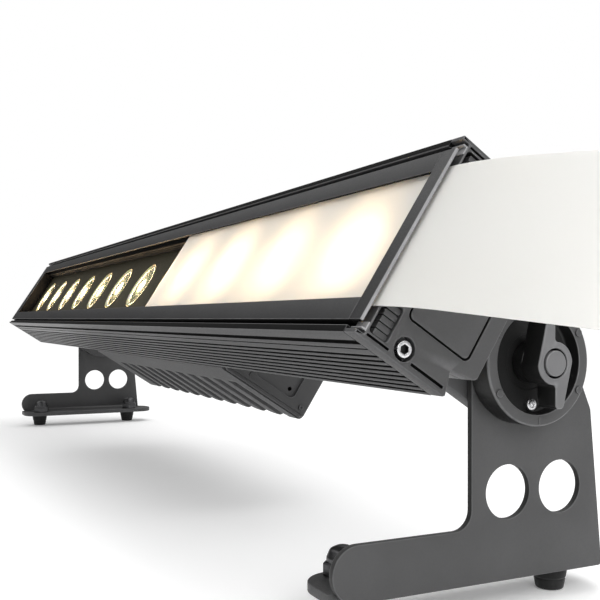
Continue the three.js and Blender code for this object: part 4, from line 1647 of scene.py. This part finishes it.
@dataclass
class Connector:
    """A chassis connector: its node, its place along x and the contacts inside it."""

    node: str
    x: float
    piece: str
    pins: int
    ring: float
    bladed: bool

    def build(self, shop: Workshop) -> None:
        """Builds the flange and barrel, the contacts and the two flange screws."""
        line = oblong(self.x - 13, self.x + 13, MID_U - 15.5, MID_U + 15.5, 3, 5)
        flange = slab(line, PANEL_FRONT, 147.0, 0.5, holes=[circle(self.x, MID_U, 11.0, 40)])
        barrel = ring([(8.5, 137.5), (11.7, 137.5), (11.7, 148.8), (8.5, 148.8)],
                      [0.2, 0.2, 0.6, 0.4], 48)
        floor = spun([(0, 135.5), (11.7, 135.5), (11.7, 137.6), (0, 137.6)], 0.0, 48)
        key = slab(oblong(-1.3, 1.3, 6.6, 8.8, 0.4), 138.0, 148.2, 0.2)
        shift = [p.turned(Along.N).moved(self.x, 0, MID_U) for p in (barrel, floor, key)]
        shop.make(
            self.piece, [flange.turned(Along.N), *shift], Finish.PLASTIC, shop.section, self.node
        )
        angles = np.radians(90 + 360 / self.pins * np.arange(self.pins))
        contacts = []
        for angle in angles:
            a, b = self.ring * math.cos(angle), self.ring * math.sin(angle)
            if self.bladed:
                pin = slab(oblong(-1.9, 1.9, -0.6, 0.6, 0.3), 137.0, 145.5, 0.25)
            else:
                pin = spun([(0, 137.0), (1.0, 137.0), (1.0, 146.5), (0, 147.0)],
                           [0, 0, 0.5, 0], 20)
            contacts.append(pin.turned(Along.N).moved(self.x + a, 0, MID_U + b))
        shop.make(
            f"{self.piece}_contacts", contacts, Finish.CONTACT, shop.section, rides=self.node
        )
        heads = [
            hex_socket_screw(1.9, 146.6, 148.0, 0.9).turned(Along.N)
            .moved(self.x + sign * 9.6, 0, MID_U + sign * 12.1)
            for sign in (-1, 1)
        ]
        shop.make(
            f"{self.piece}_screws", heads, Finish.BLACK_STEEL, shop.section, rides=self.node
        )


# ---- Hubs -------------------------------------------------------------------------------


@dataclass
class PivotArm:
    """The arm that joins the housing's back to the hub."""

    inner: float = 448.7
    outer: float = 458.7
    radius: float = 33.0
    foot_inner: float = 422.7

    def build(self, shop: Workshop, side: Side) -> None:
        """Builds the web with its round end, the foot, a gusset and the foot's screws."""
        front = HOUSING_BACK
        low, high = MID_U - self.radius, MID_U + self.radius
        curve = arc(HUB_N, MID_U, self.radius, -90, 90, 33)
        points = [(front, low), *curve, (front, high)]
        line = Outline(np.array(points, float), np.zeros(len(points)))
        bore = circle(HUB_N, MID_U, PIVOT_BORE, 40)
        lighten = rounded([(76, MID_U - 20), (92, MID_U - 20), (92, MID_U + 20),
                           (76, MID_U + 20)], 5, 5)
        web = slab(line, self.inner, self.outer, 0.9, holes=[bore],
                   pockets=[Pocket(lighten, self.outer - 2.5)])
        foot = slab(oblong(self.foot_inner, self.inner + 2, low, high, 4, 5), front, front + 5, 0.7)
        wedge = rounded([(self.inner + 1, front + 4), (self.inner + 1, front + 20),
                         (self.inner - 14, front + 4)], [0, 1.0, 1.0], 4)
        ribs = [slab(wedge, u - 2, u + 2, 0.5) for u in (low + 6, MID_U, high - 6)]
        heads = [
            hex_socket_screw(3.4, front + 4.8, front + 7.6, 1.7).turned(Along.N)
            .moved(431.5, 0, u) for u in (MID_U - 22, MID_U + 22)
        ]
        where = shop.section.at(side)
        shop.make(
            f"{side.word}_pivot_arm", [web.turned(Along.X), foot.turned(Along.N), *ribs],
            Finish.CASTING, where, f"pivot_arm_{side.word}",
        )
        shop.make(
            f"{side.word}_arm_screws", heads, Finish.BLACK_STEEL, where,
            rides=f"pivot_arm_{side.word}",
        )


@dataclass
class HubLock:
    """The dished drum, its screw, the pivot bolt and the locking knob."""

    drum_inner: float = 463.3
    drum_outer: float = 478.0
    drum_radius: float = 32.3
    dish_radius: float = 26.4
    dish_floor: float = 470.0
    bump_ring: float = 29.4
    bump_angles: tuple = (30, 150, 210, 330)
    screw_drop: float = 21.8
    bolt_span: tuple = (446.0, 490.2)
    bolt_radius: float = 6.4
    bolt_head: tuple = (441.4, 448.4)
    bolt_head_radius: float = 11.0
    boss_radius: float = 10.8
    knob_bore: float = 7.4
    knob_inner: float = 470.3
    knob_outer: float = 489.8
    wing_depth: float = 14.0

    def drum(self, shop: Workshop, side: Side) -> None:
        """The drum: a dished ring with four bumps and an index mark at the bottom."""
        section = [
            (PIVOT_BORE, self.drum_inner), (self.drum_radius, self.drum_inner),
            (self.drum_radius, self.drum_outer), (self.dish_radius, self.drum_outer),
            (self.dish_radius - 0.5, self.dish_floor), (14.2, self.dish_floor),
            (14.2, self.dish_floor - 0.6), (PIVOT_BORE, self.dish_floor - 0.6),
        ]
        cup = ring(section, [0.2, 0.5, 1.1, 0.6, 1.5, 0.3, 0.2, 0.3], 128)
        parts = [cup.turned(Along.X)]
        top = self.drum_outer
        bumps = []
        for degrees in self.bump_angles:
            angle = math.radians(degrees)
            dome = spun([(0, top - 1), (2.15, top - 1), (2.0, top + 0.9), (0, top + 1.1)],
                        [0, 0, 0.5, 0], 28)
            a, b = self.bump_ring * math.cos(angle), self.bump_ring * math.sin(angle)
            parts.append(dome.turned(Along.X).moved(0, a, b))
            bumps.append((a, b))
        mark = slab(oblong(-0.55, 0.55, -31.2, -27.6, 0.35), top - 0.5, top + 0.35, 0.25)
        parts.append(mark.turned(Along.X))
        where = shop.stand.at(side)
        piece = shop.make(f"{side.word}_hub", parts, Finish.DRUM, where, f"hub_drum_{side.word}")
        x, y, z = shop.face_middles(piece, where).T
        # Painted shade: the dish's inside, the drum's outer wall and a thin ring round each bump take
        # the near-black finish.
        away = np.hypot(y, z)
        dark = (away < self.dish_radius + 0.05) & (x < top - 0.8)
        dark |= (away > self.drum_radius - 0.1) & (x < top - 0.9)
        for a, b in bumps:
            dark |= (np.hypot(y - a, z - b) > 1.9) & (np.hypot(y - a, z - b) < 2.2) & (x > top)
        shop.second_finish(piece, Finish.DISH, dark)
        head = hex_socket_screw(3.0, self.knob_inner, self.knob_inner + 2.2, 1.35)
        shop.make(
            f"{side.word}_hub_screw", [head.turned(Along.X).moved(0, 0, -self.screw_drop)],
            Finish.STEEL, where, f"drum_screw_{side.word}",
        )

    def bolt(self, shop: Workshop, side: Side) -> None:
        """The pivot bolt: a shank with an eased end and a hexagonal head inside the arm."""
        (low, high), radius = self.bolt_span, self.bolt_radius
        shank = spun([(0, low), (radius, low), (radius, high), (0, high)], [0, 0, 0.6, 0], 56)
        head = slab(circle(0, 0, self.bolt_head_radius, 6), *self.bolt_head, 0.8)
        shop.make(
            f"{side.word}_pivot_bolt", [shank.turned(Along.X), head.turned(Along.X)], Finish.HUB,
            shop.stand.at(side), f"hub_bolt_{side.word}",
        )

    def knob(self, shop: Workshop, side: Side) -> None:
        """The knob: a boss with two wings, the second the first turned half round."""
        half = [(0.1, -self.boss_radius), (0.1, -21.2), (1.2, -22.6), (3.9, -22.6), (5.3, -21.2)]
        radii = [2.6, 1.3, 1.3, 1.3, 1.3]
        curve = arc(0, 0, self.boss_radius, 3, 72, 14)
        points = [*half, *curve, *[(-a, -b) for a, b in half], *[(-a, -b) for a, b in curve]]
        spread = [*radii, *[0.0] * len(curve)] * 2
        line = rounded(points, spread, 5)
        bore = circle(0, 0, self.knob_bore, 48)
        wings = slab(line, self.knob_outer - self.wing_depth, self.knob_outer, 0.75, holes=[bore])
        low = self.knob_inner
        boss = ring([(6.9, low), (10.75, low), (10.75, low + 7), (6.9, low + 7)], 0.4, 64)
        where = shop.stand.at(side)
        piece = shop.make(
            f"{side.word}_locking_knob", [wings.turned(Along.X), boss.turned(Along.X)],
            Finish.HUB, where, f"lock_knob_{side.word}",
        )
        x = shop.face_middles(piece, where)[:, 0]
        # Painted shade: the knob's sides below its face take the near-black finish.
        shop.second_finish(piece, Finish.DISH, x < self.knob_outer - 0.9)

    def build(self, shop: Workshop, side: Side) -> None:
        """Builds all of one hub."""
        self.drum(shop, side)
        self.bolt(shop, side)
        self.knob(shop, side)


# ---- Floor brackets ---------------------------------------------------------------------


@dataclass
class FloorBracket:
    """The upright plate with its foot flange, rubber feet and dome nuts."""

    inner: float = 459.0
    outer: float = 463.0
    bottom: float = -112.5
    flange_top: float = -107.5
    flange_inner: float = 423.0
    foot_x: float = 445.0
    nut_x: float = 433.0
    foot_places: tuple = (("front", -88.0), ("rear", 36.0))
    foot_height: float = 14.0
    head_radius: float = 34.0
    toe_radius: float = 14.0
    toe_y: float = -96.0
    window_radius: float = 14.0
    window_z: float = -67.0
    window_y: tuple = (-7.5, 27.1)
    corner: float = 18.0
    arc_steps: tuple = (40, 9, 25)

    def plate(self, shop: Workshop, side: Side) -> None:
        """The plate and flange, with eased edges and a bend fillet between them."""
        lean = math.degrees(math.atan2(15.0, 27.0))
        end = 180 - math.degrees(math.acos(30.5 / self.head_radius))
        head, hollow, toe = self.arc_steps
        points = [
            (57.0, self.bottom), (49.0, -27.0), *arc(0, 0, self.head_radius, lean, end, head),
            *arc(-40.5, -74.5, 10.0, 0, -90, hollow),
            *arc(self.toe_y, self.bottom + self.toe_radius, self.toe_radius, 90, 270, toe),
        ]
        radii = [2.0, 6.0, *[0.0] * sum(self.arc_steps)]
        line = rounded(points, radii, 5)
        holes = [circle(y, self.window_z, self.window_radius, 56) for y in self.window_y]
        holes.append(circle(0, 0, PIVOT_BORE, 40))
        upright = slab(line, self.inner, self.outer, 0.55, holes=holes)
        corner = self.corner
        outline = [
            (self.outer - 0.2, self.toe_y), *arc(self.outer - corner, 50.0, corner - 0.2, 0, 90, 12),
            *arc(self.flange_inner + corner, 50.0, corner, 90, 180, 12),
            *arc(self.flange_inner + corner, -92.0, corner, 180, 270, 12),
            (self.inner - 1.0, -110.0), (self.inner - 1.0, self.toe_y),
        ]
        flange = slab(
            Outline(np.array(outline, float), np.zeros(len(outline))), self.bottom,
            self.flange_top, 0.6,
        )
        web = rounded([(self.inner + 1, self.flange_top - 1), (self.inner + 1, self.flange_top + 3),
                       *arc(self.inner - 3, self.flange_top + 3, 3, 0, -90, 6),
                       (self.inner - 3, self.flange_top - 1)], 0.0)
        fillet = slab(web, -92.0, 50.0, 0.2)
        bend = fillet.turned(Along.N)
        where = shop.stand.at(side)
        piece = shop.make(
            f"{side.word}_floor_bracket", [upright.turned(Along.X), flange, bend],
            Finish.BRACKET, where, f"bracket_{side.word}",
        )
        x, y, z = shop.face_middles(piece, where).T
        # Painted shade: the plate's edge faces above the flange take the near-black rubber finish.
        edge = (x > self.inner + 0.5) & (x < self.outer - 0.5) & (z > self.flange_top + 3)
        shop.second_finish(piece, Finish.RUBBER, edge)

    def feet(self, shop: Workshop, side: Side) -> None:
        """The tapered rubber feet and the hexagonal dome nuts above them."""
        floor = self.bottom - self.foot_height
        for place, y in self.foot_places:
            foot = spun([(0, floor), (7.5, floor), (8.5, floor + 5.2), (8.2, floor + 6.0),
                         (8.9, floor + 6.8), (10.0, self.bottom - 0.3), (0, self.bottom - 0.3)],
                        [0, 1.0, 0.3, 0.3, 0.3, 0.6, 0], 48)
            shop.make(
                f"{side.word}_{place}_rubber_foot", [foot.moved(self.foot_x, y, 0)],
                Finish.RUBBER, shop.stand.at(side), f"rubber_foot_{side.word}_{place}",
            )
            seat = self.flange_top + 0.3
            skirt = slab(circle(0, 0, 10.4, 6, 0.3), seat, seat + 7.0, 0.7)
            dome = spun([(0, seat + 5), (8.4, seat + 5), (8.4, seat + 9.0), (6.6, seat + 13.2),
                         (3.0, seat + 14.9), (0, seat + 15.0)], [0, 0, 2.0, 3.0, 2.5, 0], 48, 6)
            parts = [p.moved(self.nut_x, y, 0) for p in (skirt, dome)]
            shop.make(
                f"{side.word}_{place}_dome_nut", parts, Finish.BLACK_STEEL, shop.stand.at(side),
                f"dome_nut_{side.word}_{place}",
            )

    def build(self, shop: Workshop, side: Side) -> None:
        """Builds one bracket with its feet and nuts."""
        self.plate(shop, side)
        self.feet(shop, side)


# ---- Studio -----------------------------------------------------------------------------


@dataclass
class Lamp:
    """A soft rectangular light aimed at a point."""

    name: str
    place: tuple
    target: tuple
    size: tuple
    power: float
    colour: Colour = (1.0, 1.0, 1.0)

    def build(self) -> None:
        """Adds the light."""
        light = bpy.data.lights.new(self.name, "AREA")
        light.shape = "RECTANGLE"
        light.size, light.size_y = self.size
        light.energy = self.power
        light.color = self.colour
        lamp = bpy.data.objects.new(self.name, light)
        lamp.location = self.place
        away = Vector(self.target) - Vector(self.place)
        lamp.rotation_euler = away.to_track_quat("-Z", "Y").to_euler()
        bpy.context.scene.collection.objects.link(lamp)


@dataclass
class Studio:
    """A white floor, soft lights, the surrounding light and the camera."""

    floor_half: float = 14.0
    camera_place: tuple = (0.7548, -0.2760, 0.1485)
    camera_ahead: tuple = (-0.8978, 0.4404, 0.0)
    lens: float = 52.67
    shift_y: float = 0.0312
    sky: float = 1.25
    side_low: float = 0.04
    side_high: float = 0.42
    floor_points: int = 9
    floor_drop: float = 0.0004
    floor_glow: float = 0.16

    def floor(self) -> None:
        """The floor: a flat grid of points under the feet, gently mottled white."""
        count = self.floor_points
        line = np.linspace(-self.floor_half, self.floor_half, count)
        x, y = np.meshgrid(line, line, indexing="ij")
        points = np.stack([x, y, 0 * x - self.floor_drop], axis=-1).reshape(-1, 3)
        faces = grid_faces(count, count, False, False)[:, ::-1]
        mesh = bpy.data.meshes.new("studio_floor")
        mesh.from_pydata(points.tolist(), [], faces.tolist())
        mesh.update()
        sheet, shader, material = new_material("studio_white")
        cloud = sheet.noise(sheet.place(), 0.8)
        tint = sheet.blend(cloud, (0.90, 0.90, 0.90, 1), (0.92, 0.92, 0.92, 1))
        sheet.link(tint, shader.inputs["Base Color"])
        shader.inputs["Roughness"].default_value = 0.9
        shader.inputs["Specular IOR Level"].default_value = 0.1
        shader.inputs["Emission Color"].default_value = (1, 1, 1, 1)
        shader.inputs["Emission Strength"].default_value = self.floor_glow
        mesh.materials.append(material)
        floor = bpy.data.objects.new("studio_floor", mesh)
        bpy.context.scene.collection.objects.link(floor)

    def surroundings(self) -> None:
        """The world: white to the camera; as light it is bright above, dim at the far end.

        Its strength grows with the height of the direction, and near the horizon with how far
        the direction leans to the right end.
        """
        world = bpy.data.worlds.new("studio_world")
        world.use_nodes = True
        sheet = NodeSheet(world.node_tree)
        ground = next(n for n in world.node_tree.nodes if n.type == "BACKGROUND")
        apart = sheet.add("ShaderNodeSeparateXYZ")
        sheet.link(sheet.add("ShaderNodeTexCoord").outputs["Generated"], apart.inputs[0])
        side = sheet.spread(apart.outputs["X"], -0.6, 0.9, self.side_low, self.side_high)
        above = sheet.spread(apart.outputs["Z"], 0.25, 0.75, 0.0, 1.0)
        light = sheet.math("MULTIPLY", side, sheet.math("SUBTRACT", 1.0, above))
        light = sheet.math("ADD", light, sheet.math("MULTIPLY", above, self.sky))
        seen = sheet.add("ShaderNodeLightPath").outputs["Is Camera Ray"]
        light = sheet.math("MAXIMUM", light, seen)
        most = sheet.math("SUBTRACT", 9.0, sheet.math("MULTIPLY", seen, 8.0))
        tone = sheet.math("MINIMUM", light, most)
        both = sheet.add("ShaderNodeCombineColor")
        for socket in both.inputs[:3]:
            sheet.link(tone, socket)
        sheet.link(both.outputs[0], ground.inputs[0])
        bpy.context.scene.world = world

    def lamps(self) -> None:
        """A softbox above and one close to the right end."""
        Lamp("overhead_softbox", (0.1, 0.5, 1.6), (0.0, 0.0, 0.1), (1.6, 0.8), 6.0).build()
        Lamp("right_softbox", (1.15, -0.10, 0.50), (0.45, 0.0, 0.10), (0.6, 0.5), 4.6).build()

    def camera(self) -> None:
        """The camera: level, low and close to the right end."""
        data = bpy.data.cameras.new("studio_camera")
        data.lens, data.sensor_width = self.lens, 36.0
        data.shift_y = self.shift_y
        data.clip_start = 0.01
        camera = bpy.data.objects.new("studio_camera", data)
        camera.location = self.camera_place
        camera.rotation_euler = Vector(self.camera_ahead).to_track_quat("-Z", "Y").to_euler()
        bpy.context.scene.collection.objects.link(camera)
        bpy.context.scene.camera = camera

    def build(self) -> None:
        """Builds the floor, the light and the camera."""
        self.floor()
        self.surroundings()
        self.lamps()
        self.camera()
        bpy.context.scene.view_settings.view_transform = "Standard"


def main() -> None:
    """Builds the studio and every sub-assembly in order."""
    logging.basicConfig(level=logging.INFO, format="%(name)s: %(message)s")
    Studio().build()
    shop = Workshop()
    Housing().build(shop)
    Bezel().build(shop)
    LightEngine().build(shop)
    FrostFilm().build(shop)
    DriverBox().build(shop)
    ControlPanel().build(shop)
    for connector in (
        Connector("power_inlet", -160.0, "mains_inlet", 3, 4.6, True),
        Connector("power_outlet", -115.0, "mains_outlet", 3, 4.6, True),
        Connector("data_inlet", 115.0, "signal_inlet", 3, 4.2, False),
        Connector("data_outlet", 160.0, "signal_outlet", 3, 4.2, False),
    ):
        connector.build(shop)
    for side in Side:
        PivotArm().build(shop, side)
        HubLock().build(shop, side)
        FloorBracket().build(shop, side)


if __name__ == "__main__":
    main()
